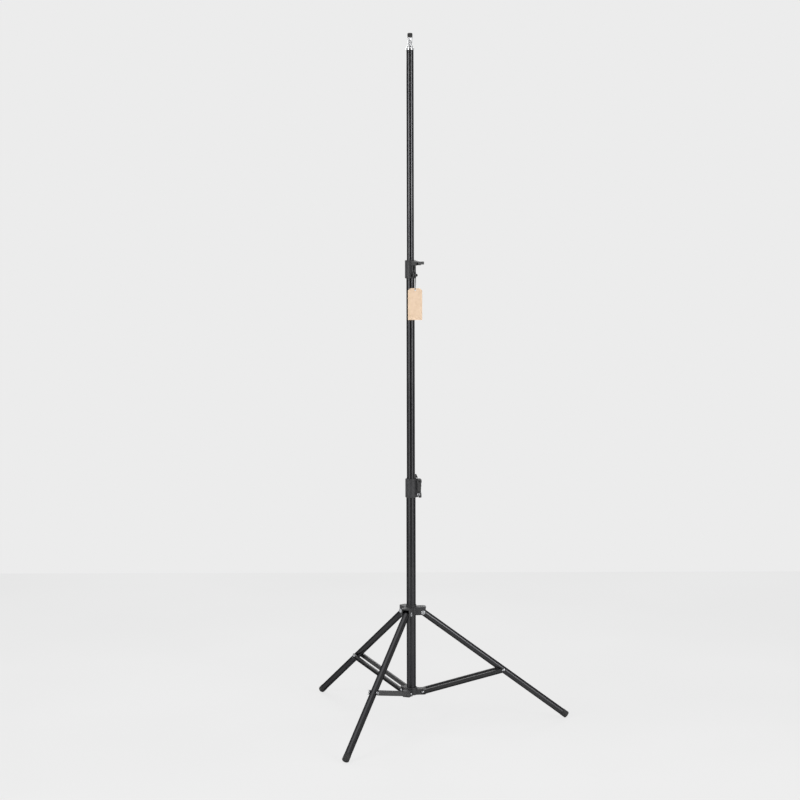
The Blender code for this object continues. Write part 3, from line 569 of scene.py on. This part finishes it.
def make_tube(node, radius, body):
    """Drawn tube, its cut ends broken by a small chamfer."""
    bottom, top = low(node)[2], high(node)[2]
    inner = radius - TUBE_WALL
    chamfer = 0.0003
    profile = [(inner, top - chamfer), (inner + chamfer, top), (radius - chamfer, top),
               (radius, top - chamfer)]
    stretches = 24
    height = top - bottom - 2 * chamfer
    profile += [(radius, top - chamfer - height * k / stretches) for k in range(1, stretches)]
    profile += [(radius, bottom + chamfer), (radius - chamfer, bottom), (inner + chamfer, bottom),
                (inner, bottom + chamfer)]
    piece(node + "_drawn", turned(profile, closed=True), ANODISED, body, node, about_mast(0))


make_tube("lower_tube", LOWER_RADIUS, "root")
make_tube("middle_tube", MIDDLE_RADIUS, "middle_mast")
make_tube("top_tube", TOP_RADIUS, "top_mast")


def make_spigot():
    """Turned spigot: flange, base, waist for the clamp screw, head and thread."""
    foot = high("top_tube")[2] + GAP
    flange, base, waist, head, thread, crown = 0.0042, 0.0075, 0.0175, 0.0032, 0.0095, 0.0014
    rim, full, thin, stud = 0.0115, 0.008, 0.0063, 0.0031
    shank = TOP_RADIUS - TUBE_WALL - GAP
    waist_low = flange + base
    head_low = waist_low + waist
    top = head_low + head
    insert, lead_in, rounding = 0.025, 0.0008, 0.0009
    pitch, thread_depth, thread_end = 0.001, 0.0005, 0.0006
    profile = [(0, top + thread), (stud - thread_end, top + thread), (stud, top + thread - thread_end)]
    z = top + thread - 2 * thread_end
    while z > top + pitch:
        profile += [(stud, z), (stud - thread_depth, z - pitch / 2)]
        z -= pitch
    profile += [(stud, top)]
    profile += arc((full - crown, top - crown), crown, 90, 0, 6)
    profile += [(full, head_low + 0.0013), (full - 0.0002, head_low + 0.001),
                (thin + 0.0003, head_low + 0.0001), (thin, head_low - 0.0003),
                (thin, waist_low + 0.0003), (thin + 0.0003, waist_low - 0.0001),
                (full - 0.0002, waist_low - 0.001), (full, waist_low - 0.0013),
                (full, flange + 0.0004), (full + 0.0004, flange)]
    profile += arc((rim - rounding, flange - rounding), rounding, 90, 0, 5)
    profile += arc((rim - rounding, rounding), rounding, 0, -90, 5)
    profile += [(shank, 0), (shank, lead_in - insert), (shank - lead_in, -insert), (0, -insert)]
    piece("spigot_turned", turned(profile), CHROME, "top_mast", "spigot", about_mast(foot))
    radius, height, corner, lip = 0.0068, 0.0112, 0.003, 0.0006
    bore = stud + GAP
    depth = thread + GAP
    cap = [(0, height), (radius * 0.4, height - 0.00002)]
    cap += arc((radius - corner, height - corner), corner, 90, 0, 10)
    cap += [(radius, corner * 0.9)] + arc((radius - lip, lip), lip, 0, -90, 4)
    cap += [(bore, 0), (bore, depth), (0, depth)]
    piece("spigot_cap_moulded", turned(cap), RUBBER, "cap", "spigot_cap", about_mast(foot + top + GAP))


make_spigot()


# Base


def star(hub, half, reach, corner, azimuths):
    """Outline of a hub with an arm for each leg, its sides half a width off the arm's line."""
    points = []
    spacing = 360 / len(azimuths)
    meeting = half / math.tan(math.radians(spacing / 2))
    root_x = math.sqrt(max(hub ** 2 - half ** 2, meeting ** 2))
    root_angle = math.degrees(math.atan2(half, root_x))
    for azimuth in azimuths:
        arm = [(root_x, -half)]
        arm += arc((reach - corner, corner - half), corner, -90, 0, 10)
        arm += arc((reach - corner, half - corner), corner, 0, 90, 10)
        arm.append((root_x, half))
        turn = math.radians(azimuth)
        for x, y in arm:
            points.append((x * math.cos(turn) - y * math.sin(turn),
                           x * math.sin(turn) + y * math.cos(turn)))
        if root_angle < spacing / 2 - 0.5:
            gap_arc = arc((0, 0), hub, azimuth + root_angle, azimuth + spacing - root_angle, 14)
            points += gap_arc[1:-1]
    return points


LEG_HINGES = {leg: hinge(leg + "_leg_hinge") for leg in LEGS}
BRACE_HINGES = {leg: hinge(leg + "_brace_hinge") for leg in LEGS}
AZIMUTHS = [LEG_HINGES[leg][2] % 360 for leg in LEGS]
LEG_OUT = LEG_HINGES["right"][1]
LEG_Z = LEG_HINGES["right"][0][2]
BRACE_OUT = BRACE_HINGES["right"][1]
BRACE_Z = BRACE_HINGES["right"][0][2]
LEG_RIVET = 0.003
BRACE_RIVET = 0.0025
PLAY = 0.0003
# Underside of the leg collar's plate above the leg hinges, where the opened legs stop
LEG_STOP = 0.012
CHEEK_INNER = LEG_RADIUS + 0.0005
CHEEK_OUTER = CHEEK_INNER + 0.004
BRACE_INNER = LEG_RADIUS + BRACE_STANDS_OFF
BUSH_INNER = LOWER_RADIUS + GAP
BUSH_OUTER = BUSH_INNER + 0.0013
HUB = BUSH_OUTER + GAP + 0.0026


def make_leg_collar():
    """Three forks under a plate, cored from below, and the plain bush in its bore."""
    skirt, plate, lip = 0.007, 0.003, 0.006
    reach, corner = 0.040, 0.008
    top = LEG_STOP + plate
    outlines = [star(HUB, CHEEK_OUTER, reach, corner, AZIMUTHS), circle(BUSH_OUTER + GAP, steps=FINE)]
    mesh = slab(outlines, -skirt, top, edge=0.0009)
    past = 0.01
    slot = box((HUB, -CHEEK_INNER, -skirt - past), (reach + past, CHEEK_INNER, LEG_STOP))
    hole = across(LEG_RIVET + PLAY, CHEEK_OUTER + past, x=LEG_OUT)
    cuts = []
    for azimuth in AZIMUTHS:
        cuts.append(("DIFFERENCE", turned_copy(slot, azimuth)))
        cuts.append(("DIFFERENCE", turned_copy(hole, azimuth)))
    mesh = worked(mesh, cuts, edge=0.0003)
    piece("leg_collar_moulded", mesh, NYLON, "sliding_collar", "leg_collar", about_mast(LEG_Z))
    lip_top = top + lip
    chamfer, rounding = 0.0003, 0.0005
    bush = [(BUSH_INNER, lip_top - 0.0004), (BUSH_INNER + chamfer, lip_top)]
    bush += arc((BUSH_OUTER - rounding, lip_top - rounding), rounding, 90, 0, 4)
    bush += [(BUSH_OUTER, top + 0.0004), (BUSH_OUTER, -skirt + chamfer), (BUSH_OUTER - chamfer, -skirt),
             (BUSH_INNER + chamfer, -skirt), (BUSH_INNER, -skirt + chamfer)]
    piece("leg_collar_bush_moulded", turned(bush, closed=True), NYLON, "sliding_collar",
          "leg_collar_bush", about_mast(LEG_Z))


def make_brace_collar():
    """Three tongues on a cup that holds the tube's foot."""
    half_height, lip, floor = 0.008, 0.004, 0.002
    reach, corner, rounding, past = 0.039, 0.005, 0.0009, 0.01
    outline = star(HUB, BRACE_INNER - GAP, reach, corner, AZIMUTHS)
    mesh = slab([outline], -half_height, half_height, edge=0.0009)
    lip_top = half_height + lip
    ring = turned([(0, lip_top)] + arc((HUB - 0.0015, lip_top - rounding), rounding, 90, 0, 4)
                  + [(HUB - 0.0006, 0), (0, 0)])
    seat = rod(BUSH_INNER, (0, 0, floor - half_height), (0, 0, lip_top + past), FINE)
    hole = across(BRACE_RIVET + PLAY, BRACE_INNER + past, x=BRACE_OUT)
    steps = [("UNION", ring), ("DIFFERENCE", seat)]
    for azimuth in AZIMUTHS:
        steps.append(("DIFFERENCE", turned_copy(hole, azimuth)))
    mesh = worked(mesh, steps, edge=0.0003)
    piece("brace_collar_moulded", mesh, NYLON, "root", "brace_collar", about_mast(BRACE_Z))


def dome(shank, head, base):
    """Half profile of a round rivet head with a shallow dimple, down to its shank."""
    height = 0.0018
    top = base + height
    return [(0, top - 0.0004), (head * 0.16, top - 0.00038), (head * 0.3, top - 0.00005),
            (head * 0.4, top), (head * 0.62, top - 0.0002), (head * 0.8, top - 0.00055),
            (head * 0.93, top - 0.00105), (head, base + 0.0003), (head - 0.0001, base), (shank, base)]


def rivet_through(shank, head, base):
    half = dome(shank, head, base)
    return upright(turned(half + [(radius, -z) for radius, z in reversed(half)], steps=MEDIUM))


def leg_meshes():
    """Leg tube and foot cap along -Z from the hinge."""
    overhang = (LEG_STOP - GAP - LEG_RADIUS * math.sin(LEG_SPREAD)) / math.cos(LEG_SPREAD)
    tube_foot = FOOT_LENGTH - LEG_LENGTH
    inner, chamfer = LEG_RADIUS - TUBE_WALL, 0.0003
    profile = [(inner, overhang - chamfer), (inner + chamfer, overhang),
               (LEG_RADIUS - chamfer, overhang), (LEG_RADIUS, overhang - chamfer),
               (LEG_RADIUS, tube_foot + chamfer), (LEG_RADIUS - chamfer, tube_foot),
               (inner + chamfer, tube_foot), (inner, tube_foot + chamfer)]
    tube = turned(profile, closed=True, steps=72)
    tube = worked(tube, [("DIFFERENCE", across(LEG_RIVET + PLAY, LEG_RADIUS + 0.005))])
    shank = inner - GAP
    plug, rounding, edge = 0.014, 0.0025, 0.0006
    sole = arc((FOOT_RADIUS - rounding, rounding - LEG_LENGTH), rounding, 0, -90, 8)
    foot = [(0, tube_foot + plug), (shank, tube_foot + plug), (shank, tube_foot - GAP)]
    foot += arc((FOOT_RADIUS - edge, tube_foot - GAP - edge), edge, 90, 0, 4)
    groove, groove_floor = tube_foot - 0.0045, FOOT_RADIUS - 0.0003
    foot += [(FOOT_RADIUS, groove), (groove_floor, groove - 0.0003), (groove_floor, groove - 0.0009),
             (FOOT_RADIUS, groove - 0.0012)]
    foot += sole + [(0, -LEG_LENGTH)]
    return tube, turned(foot, steps=72)


def brace_mesh():
    """Pressed channel from its lower pivot along +X, its flanges towards +Y, its bends rounded."""
    half, sheet, depth = BRACE_HALF, BRACE_SHEET, BRACE_DEPTH
    bend_radius, close = 0.0011, 0.00001
    outline = arc((BRACE_LENGTH, 0), half, -90, 90, 20) + arc((0, 0), half, 90, 270, 20)
    play = BRACE_RIVET + PLAY
    holes = [circle(play, (0, 0), SMALL), circle(play, (BRACE_LENGTH, 0), SMALL)]
    body = upright(slab([outline] + holes, -BRACE_INNER - depth, -BRACE_INNER))
    rounded = scratch(body)
    weight = [0.0] * len(body.edges)
    for edge in body.edges:
        ends = [body.vertices[k].co for k in edge.vertices]
        on_web = all(abs(co[1] - BRACE_INNER) < close for co in ends)
        outside = all((Vector((min(max(co[0], 0), BRACE_LENGTH), 0)) - Vector((co[0], co[2]))).length
                      > half - 0.0002 for co in ends)
        if on_web and outside:
            weight[edge.index] = 1.0
    layer = body.attributes.new("bevel_weight_edge", "FLOAT", "EDGE")
    layer.data.foreach_set("value", weight)
    bevel = rounded.modifiers.new("bend", "BEVEL")
    bevel.width = bend_radius
    bevel.segments = 4
    bevel.limit_method = "WEIGHT"
    body = baked(rounded)
    past = 0.02
    inner = [(-past, sheet - half), (BRACE_LENGTH + past, sheet - half),
             (BRACE_LENGTH + past, half - sheet), (-past, half - sheet)]
    trough = upright(slab([inner], -BRACE_INNER - depth - past, -BRACE_INNER - sheet))
    return worked(body, [("DIFFERENCE", trough)], edge=0.00015)


def make_legs():
    tube, foot = leg_meshes()
    brace = brace_mesh()
    leg_head, collar_head, brace_head = 0.0058, 0.004, 0.0045
    leg_rivet = rivet_through(LEG_RIVET, leg_head, CHEEK_OUTER + GAP)
    web = BRACE_INNER + BRACE_SHEET + GAP
    collar_rivet = rivet_through(BRACE_RIVET, collar_head, web)
    shoulder, inside = 0.0048, LEG_RADIUS + GAP
    chamfer = 0.0003
    shoulder_top = BRACE_INNER - GAP
    stub = dome(BRACE_RIVET, brace_head, web)
    stub += [(BRACE_RIVET, shoulder_top), (shoulder - chamfer, shoulder_top),
             (shoulder, shoulder_top - chamfer), (shoulder, inside + chamfer),
             (shoulder - chamfer, inside), (0, inside)]
    stub = upright(turned(stub, steps=MEDIUM))
    stub.transform(Matrix.Translation((BRACE_LENGTH, 0, 0)))
    for leg in LEGS:
        azimuth = LEG_HINGES[leg][2]
        arm = about_mast(LEG_Z, azimuth, LEG_OUT)
        sloped = arm @ Matrix.Rotation(-LEG_SPREAD, 4, "Y")
        body = leg + "_leg"
        piece("leg_tube_" + leg, tube.copy(), ANODISED, body, "leg_" + leg, sloped)
        piece("foot_cap_" + leg, foot.copy(), RUBBER, body, "foot_" + leg, sloped)
        piece("fork_rivet_" + leg, leg_rivet.copy(), ZINC, "sliding_collar", "leg_rivet_" + leg, arm)
        tongue = about_mast(BRACE_Z, BRACE_HINGES[leg][2], BRACE_OUT)
        piece("tongue_rivet_" + leg, collar_rivet.copy(), ZINC, "root", "brace_collar_rivet_" + leg,
              tongue)
        for side, turn in (("first", 0.0), ("second", math.pi)):
            place = tongue @ Matrix.Rotation(-BRACE_RISE, 4, "Y") @ Matrix.Rotation(turn, 4, "X")
            body = leg + "_braces"
            end = leg + "_" + side
            piece("channel_" + end, brace.copy(), COATED, body, "brace_" + end, place)
            piece("channel_rivet_" + end, stub.copy(), ZINC, body, "brace_leg_rivet_" + end, place)


make_leg_collar()
make_brace_collar()
make_legs()


# Clamps

SEAT = 0.0237
EAR = 0.0048
EAR_CREST = 115
POCKET = 0.0027
LUG = 0.004
HEAD = 0.0064
PIVOT_OUT = 0.0076
NECK_OUT = 0.0041
SKIRT_OVERLAP = 0.0014
SCREW = 0.0022
SCREW_OUT = 0.0055
SCREW_HEIGHT = 0.009
BOSS = 0.0042
PIN = 0.0015
LEVER_HALF = 0.008
LEVER_PLATE = 0.0034
# Degrees from the closed pose: the upper lever stands open
LEVER_TURN = {"lower": 0, "upper": -90}


def clamp_places(which):
    """Collar radius, then the pivot and the screw as (x, z) from the clamp's foot on the axis."""
    place, out = hinge(which + "_lever_hinge")[:2]
    radius = out - PIVOT_OUT
    return radius, (out, place[2] - CLAMP_FOOT[which]), (radius + SCREW_OUT, SCREW_HEIGHT)


def lever_shoulder(screw_x, neck):
    """Where the closed lever's inner side steps in above the boss: x, and height above the screw."""
    inner = screw_x + BOSS + GAP
    return [(inner, 0.006), (inner - 0.001, 0.0074), (neck + 0.001, 0.009), (neck, 0.0105)]


def clamp_collar_mesh(which):
    """Split collar, its foot on the wider tube and its top on the thinner."""
    outside, inside = CLAMPS[which]
    radius, pivot, screw = clamp_places(which)
    height = CLAMP_HEIGHT[which]
    step = SEAT + GAP
    rounding = 0.0022
    chamfer = 0.00015
    wide, narrow = outside + PLAY, inside + PLAY
    profile = [(narrow, height - 0.0004), (narrow + 0.0004, height)]
    profile += arc((radius - rounding, height - rounding), rounding, 90, 0, 8)
    profile += arc((radius - rounding, rounding), rounding, 0, -90, 8)
    profile += [(wide + chamfer, 0), (wide, chamfer), (wide, step), (narrow, step)]
    body = turned(profile, closed=True)
    back, neck = radius - 0.0012, radius + NECK_OUT
    bottom, top = 0.0008, height - 0.0006
    ears = [(back, bottom), (screw[0] - 0.003, bottom)] + arc(screw, BOSS, -60, 0, 10)
    ears += [(x - GAP, screw[1] + rise - GAP) for x, rise in lever_shoulder(screw[0], neck + GAP)]
    ears += [(neck, pivot[1] - LUG)]
    ears += arc(pivot, LUG, -90, 135, 20)
    head_meets = 180 - math.degrees(math.asin(LUG / (HEAD + GAP)))
    ears += arc(pivot, HEAD + GAP, head_meets, EAR_CREST, 6)
    ears += [(ears[-1][0], top), (back, top)]
    ears = upright(softened(slab([ears], -EAR, EAR), 0.0005, 2, 50))
    past = 0.005
    slit = box((narrow / 2, -0.001, -past), (radius * 2, 0.001, height + past))
    pocket = box((narrow / 2, -POCKET, step), (radius * 2, POCKET, height + past))
    return worked(body, [
        ("UNION", ears), ("DIFFERENCE", slit), ("DIFFERENCE", pocket),
        ("DIFFERENCE", across(PIN + PLAY, EAR + past, *pivot)),
        ("DIFFERENCE", across(SCREW + PLAY, EAR + past, *screw))])


def lever_mesh(which):
    """Lever in its closed pose, hanging from its pivot at the origin, its cam between the lugs.

    Its sides reach over the ears' edge, so that no light shows between them. Five thin rods are cut
    out of its plate as shallow grooves. The fifth lies just under the upper lever's surface, where
    it doesn't show.
    """
    radius, pivot, screw = clamp_places(which)
    inner = screw[0] + BOSS + GAP - pivot[0]
    outer = inner + LEVER_PLATE
    foot = -pivot[1]
    neck = radius + NECK_OUT + GAP - pivot[0]
    skirt = radius + NECK_OUT - SKIRT_OVERLAP - pivot[0]
    boss = foot + screw[1]
    waist = outer - 0.0014
    tip = foot + 0.0002
    lip = inner - 0.0045
    outline = arc((0, 0), HEAD, 205, -30, 36)
    outline += [(0.0047, -0.0088), (0.0052, -0.0100), (0.0054, -0.0112), (0.0054, -0.0122),
                (0.0053, -0.0132), (0.0049, -0.0150), (0.0043, -0.0168), (waist + 0.0004, -0.0195),
                (waist, boss + 0.0133), (waist, boss + 0.006), (waist + 0.0003, boss + 0.0037),
                (waist + 0.0009, boss + 0.0015), (waist + 0.0013, boss), (outer, boss - 0.0012)]
    outline += arc((outer - 0.0022, tip + 0.0022), 0.0022, 0, -90, 6)
    outline += arc((lip + 0.0006, tip + 0.0006), 0.0006, -90, -180, 4)
    outline += [(lip, foot + 0.0026), (inner - 0.0029, foot + 0.004), (inner, boss - 0.004)]
    outline += [(x, boss + rise) for x, rise in lever_shoulder(screw[0] - pivot[0], skirt)]
    outline += [(skirt, -0.0083)]
    solid = upright(slab([outline], -LEVER_HALF, LEVER_HALF, edge=0.0008))
    room = EAR + GAP
    cam = POCKET - GAP
    past = 0.02
    relief_depth = 0.0001
    cavity_low = boss - BOSS - 2 * GAP
    cavity = box((-past, -room, cavity_low), (inner + relief_depth, room, -HEAD - relief_depth))
    lug = LUG + GAP + relief_depth
    slot = [(-past, -past), (neck + relief_depth, -past), (neck + relief_depth, -lug)]
    slot += arc((0, 0), lug, -90, 0, 16) + [(lug, past), (-past, past)]
    tools = [("DIFFERENCE", cavity),
             ("DIFFERENCE", upright(slab([slot], cam, room))),
             ("DIFFERENCE", upright(slab([slot], -room, -cam))),
             ("DIFFERENCE", across(PIN + PLAY, LEVER_HALF + 0.005))]
    groove_radius, groove_half, highest, pitch = 0.00035, 0.0056, -0.021, 0.0022
    for at in range(5):
        z = highest - at * pitch
        groove = rod(groove_radius, (waist, -groove_half, z), (waist, groove_half, z), 12)
        tools.append(("DIFFERENCE", groove))
    return worked(solid, tools)


def shoe_mesh(which):
    """Brake shoe between the tube and the cam; the lower one rises as a wedge over the ears."""
    pivot = clamp_places(which)[1]
    height = CLAMP_HEIGHT[which]
    near = CLAMPS[which][1] + GAP
    far = pivot[0] - HEAD - GAP
    foot = SEAT + 2 * GAP
    rise = high(which + "_clamp_shoe")[2] - CLAMP_FOOT[which] - height
    outline = [(near, foot), (far - 0.001, foot), (far, foot + 0.002), (far, height - 0.0015)]
    if rise > 0:
        neck, overhang = near + 0.0027, far + 0.0025
        outline += [(neck, height), (neck, height + 0.0016), (overhang, height + 0.0016),
                    (overhang - 0.0004, height + 0.0032), (neck + 0.001, height + rise - 0.0008),
                    (neck - 0.0005, height + rise)]
    else:
        outline += [(far - 0.001, height - 0.0006)]
    outline.append((near, outline[-1][1]))
    half = POCKET - GAP
    return upright(slab([outline], -half, half, edge=0.0004))


# The tag's string hangs between the ear and the upper nut
NUT_STANDS_OFF = {"lower": 0.0, "upper": 0.0018}
NUT_HEIGHT = 0.0024


def screw_mesh(which):
    """Clamp screw, its button head towards -Y: a rounded rim about a deep hexagonal socket."""
    face = EAR + GAP
    head_radius, head_height, crown, dish = 0.0041, 0.0024, 0.001, 0.0014
    socket_radius, socket_depth, past = 0.0021, 0.0018, 0.002
    end_chamfer, past_nut = 0.0004, 0.0005
    top = face + head_height
    end = -(face + NUT_STANDS_OFF[which] + NUT_HEIGHT + past_nut)
    profile = [(0, top - dish)] + arc((head_radius - crown, top - crown), crown, 180, 0, 14)
    profile += [(head_radius, face), (SCREW, face), (SCREW, end + end_chamfer),
                (SCREW - end_chamfer, end), (0, end)]
    socket = rod(socket_radius, (0, 0, top - socket_depth), (0, 0, top + past), 6)
    return upright(worked(turned(profile, steps=MEDIUM), [("DIFFERENCE", socket)]))


def nut_mesh(which):
    """Hexagon nut, its edges a little rounded."""
    face = EAR + GAP + NUT_STANDS_OFF[which]
    corner_radius = 0.004
    nut = upright(slab([circle(corner_radius, steps=6), circle(SCREW + PLAY, steps=SMALL)],
                       -face - NUT_HEIGHT, -face))
    return softened(nut, 0.0003, 2)


def pin_mesh():
    """Lever pin along Y, its chamfered ends a little inside the lever's sides."""
    inset, chamfer = 0.0004, 0.0004
    half = LEVER_HALF - inset
    profile = [(0, half), (PIN - chamfer, half), (PIN, half - chamfer), (PIN, chamfer - half),
               (PIN - chamfer, -half), (0, -half)]
    return upright(turned(profile, steps=SMALL))


def make_clamp(which):
    pivot, screw = clamp_places(which)[1:]
    held, lever = CLAMP_BODIES[which]
    foot = about_mast(CLAMP_FOOT[which], hinge(which + "_lever_hinge")[2])
    name = which + "_clamp_"
    piece(name + "collar_moulded", clamp_collar_mesh(which), NYLON, held, name + "collar", foot)
    piece(name + "brake_shoe", shoe_mesh(which), RUBBER, held, name + "shoe", foot)
    at_pivot = foot @ Matrix.Translation((pivot[0], 0, pivot[1]))
    turn = Matrix.Rotation(math.radians(LEVER_TURN[which]), 4, "Y")
    piece(name + "lever_moulded", lever_mesh(which), LEVER, lever, name + "lever", at_pivot @ turn)
    piece(name + "pivot_pin", pin_mesh(), BLACK_OXIDE, held, name + "pin", at_pivot)
    at_screw = foot @ Matrix.Translation((screw[0], 0, screw[1]))
    steel = ZINC if which == "lower" else BLACK_OXIDE
    piece(name + "cap_screw", screw_mesh(which), steel, held, name + "screw", at_screw)
    piece(name + "hex_nut", nut_mesh(which), steel, held, name + "nut", at_screw)


make_clamp("lower")
make_clamp("upper")


dress("middle_tube_plug", NYLON)
dress("top_tube_plug", NYLON)


# Studio

FLOOR_GLOW = 0.88


def make_floor():
    """Pale floor that ends where it meets the backdrop, 2.2 m behind the mast.

    To the camera it mostly glows with its own colour, so it is even and keeps a soft shadow.
    """
    made, tree, shader = material("painted_floor", Roughness=0.6, Specular_IOR_Level=0.2)
    cloud = grain(tree, (900, 900, 900))
    colour = tinted(tree, shader, cloud.outputs[0], "ececec", "eeeeee")
    glow = add(tree, "Emission", {"Color": colour, "Strength": 1.0})
    seen = add(tree, "Math", {0: add(tree, "LightPath").outputs["Is Camera Ray"], 1: FLOOR_GLOW},
               operation="MULTIPLY")
    mixed = add(tree, "MixShader", {0: seen.outputs[0], 1: shader.outputs[0], 2: glow.outputs[0]})
    tree.links.new(mixed.outputs[0], tree.nodes["Material Output"].inputs["Surface"])
    work = bmesh.new()
    side, back = 6, 2.17
    corners = [(-side, -side), (side, -side), (side, back), (-side, back)]
    work.faces.new([work.verts.new((MAST[0] + x, MAST[1] + y, 0)) for x, y in corners])
    mesh = bpy.data.meshes.new("floor")
    work.to_mesh(mesh)
    work.free()
    mesh.materials.append(made)
    floor = bpy.data.objects.new("floor", mesh)
    bpy.context.scene.collection.objects.link(floor)


def make_backdrop():
    """Pale backdrop as the camera sees it, and a soft even light for the rest.

    Shiny surfaces see the backdrop too, and a darker room beside and behind the camera.
    """
    world = bpy.data.worlds.new("studio")
    world.use_nodes = True
    tree = world.node_tree
    tree.nodes.clear()
    rays = add(tree, "LightPath").outputs
    seen = add(tree, "Math", {0: rays["Is Camera Ray"], 1: rays["Is Transmission Ray"]},
               operation="MAXIMUM")
    lit = add(tree, "Background", {"Color": linear("ffffff"), "Strength": 0.3})
    shown = add(tree, "Background", {"Color": linear("ececec"), "Strength": 1.0})
    direction = add(tree, "SeparateXYZ", {0: add(tree, "TexCoord").outputs["Generated"]})
    away = add(tree, "MapRange", {"Value": direction.outputs["Y"], "From Min": -0.75,
                                  "From Max": 0.75}, interpolation_type="SMOOTHSTEP")
    room = add(tree, "Mix", {0: away.outputs[0], 6: linear("4a4a4a"), 7: linear("ececec")},
               data_type="RGBA")
    mirrored = add(tree, "Background", {"Color": room.outputs[2], "Strength": 1.0})
    unseen = add(tree, "MixShader", {0: rays["Is Glossy Ray"], 1: lit.outputs[0],
                                     2: mirrored.outputs[0]})
    mixed = add(tree, "MixShader", {0: seen.outputs[0], 1: unseen.outputs[0], 2: shown.outputs[0]})
    output = add(tree, "OutputWorld", {"Surface": mixed.outputs[0]})
    output.is_active_output = True
    bpy.context.scene.world = world


def softbox(name, azimuth, distance, height, size, power):
    """Rectangular soft light at an azimuth from the mast, facing it and tilted a little down."""
    data = bpy.data.lights.new(name, "AREA")
    data.shape = "RECTANGLE"
    data.size, data.size_y = size
    data.energy = power
    light = bpy.data.objects.new(name, data)
    bpy.context.scene.collection.objects.link(light)
    turn = math.radians(azimuth)
    light.location = MAST + Vector((math.cos(turn) * distance, math.sin(turn) * distance, height))
    drop = 0.25
    target = MAST + Vector((0, 0, height - drop))
    light.rotation_euler = (light.location - target).to_track_quat("Z", "Y").to_euler()


def make_lights():
    """A tall soft light on each side of the camera, brightest at the top tube, one behind, one above.

    Each tall light is a stack of panels, named from the floor up.
    """
    panel, distance = 0.64, 2.4
    for side, azimuth in (("left", -136), ("right", -44)):
        for at, power in enumerate((3.4, 7.6, 17.5, 2.0)):
            middle_height = panel * (at + 0.5)
            softbox(f"panel_{side}_{at + 1}", azimuth, distance, middle_height, (1.0, panel), power)
    softbox("softbox_back", azimuth=100, distance=2.6, height=2.4, size=(1.4, 1.0), power=25)
    over = bpy.data.lights.new("softbox_over", "AREA")
    over.shape = "RECTANGLE"
    over.size, over.size_y = 2.6, 2.6
    over.energy = 26
    light = bpy.data.objects.new("softbox_over", over)
    bpy.context.scene.collection.objects.link(light)
    light.location = MAST + Vector((0, 0, 3.2))


make_floor()
make_backdrop()
make_lights()
bpy.context.scene.view_settings.view_transform = "Standard"
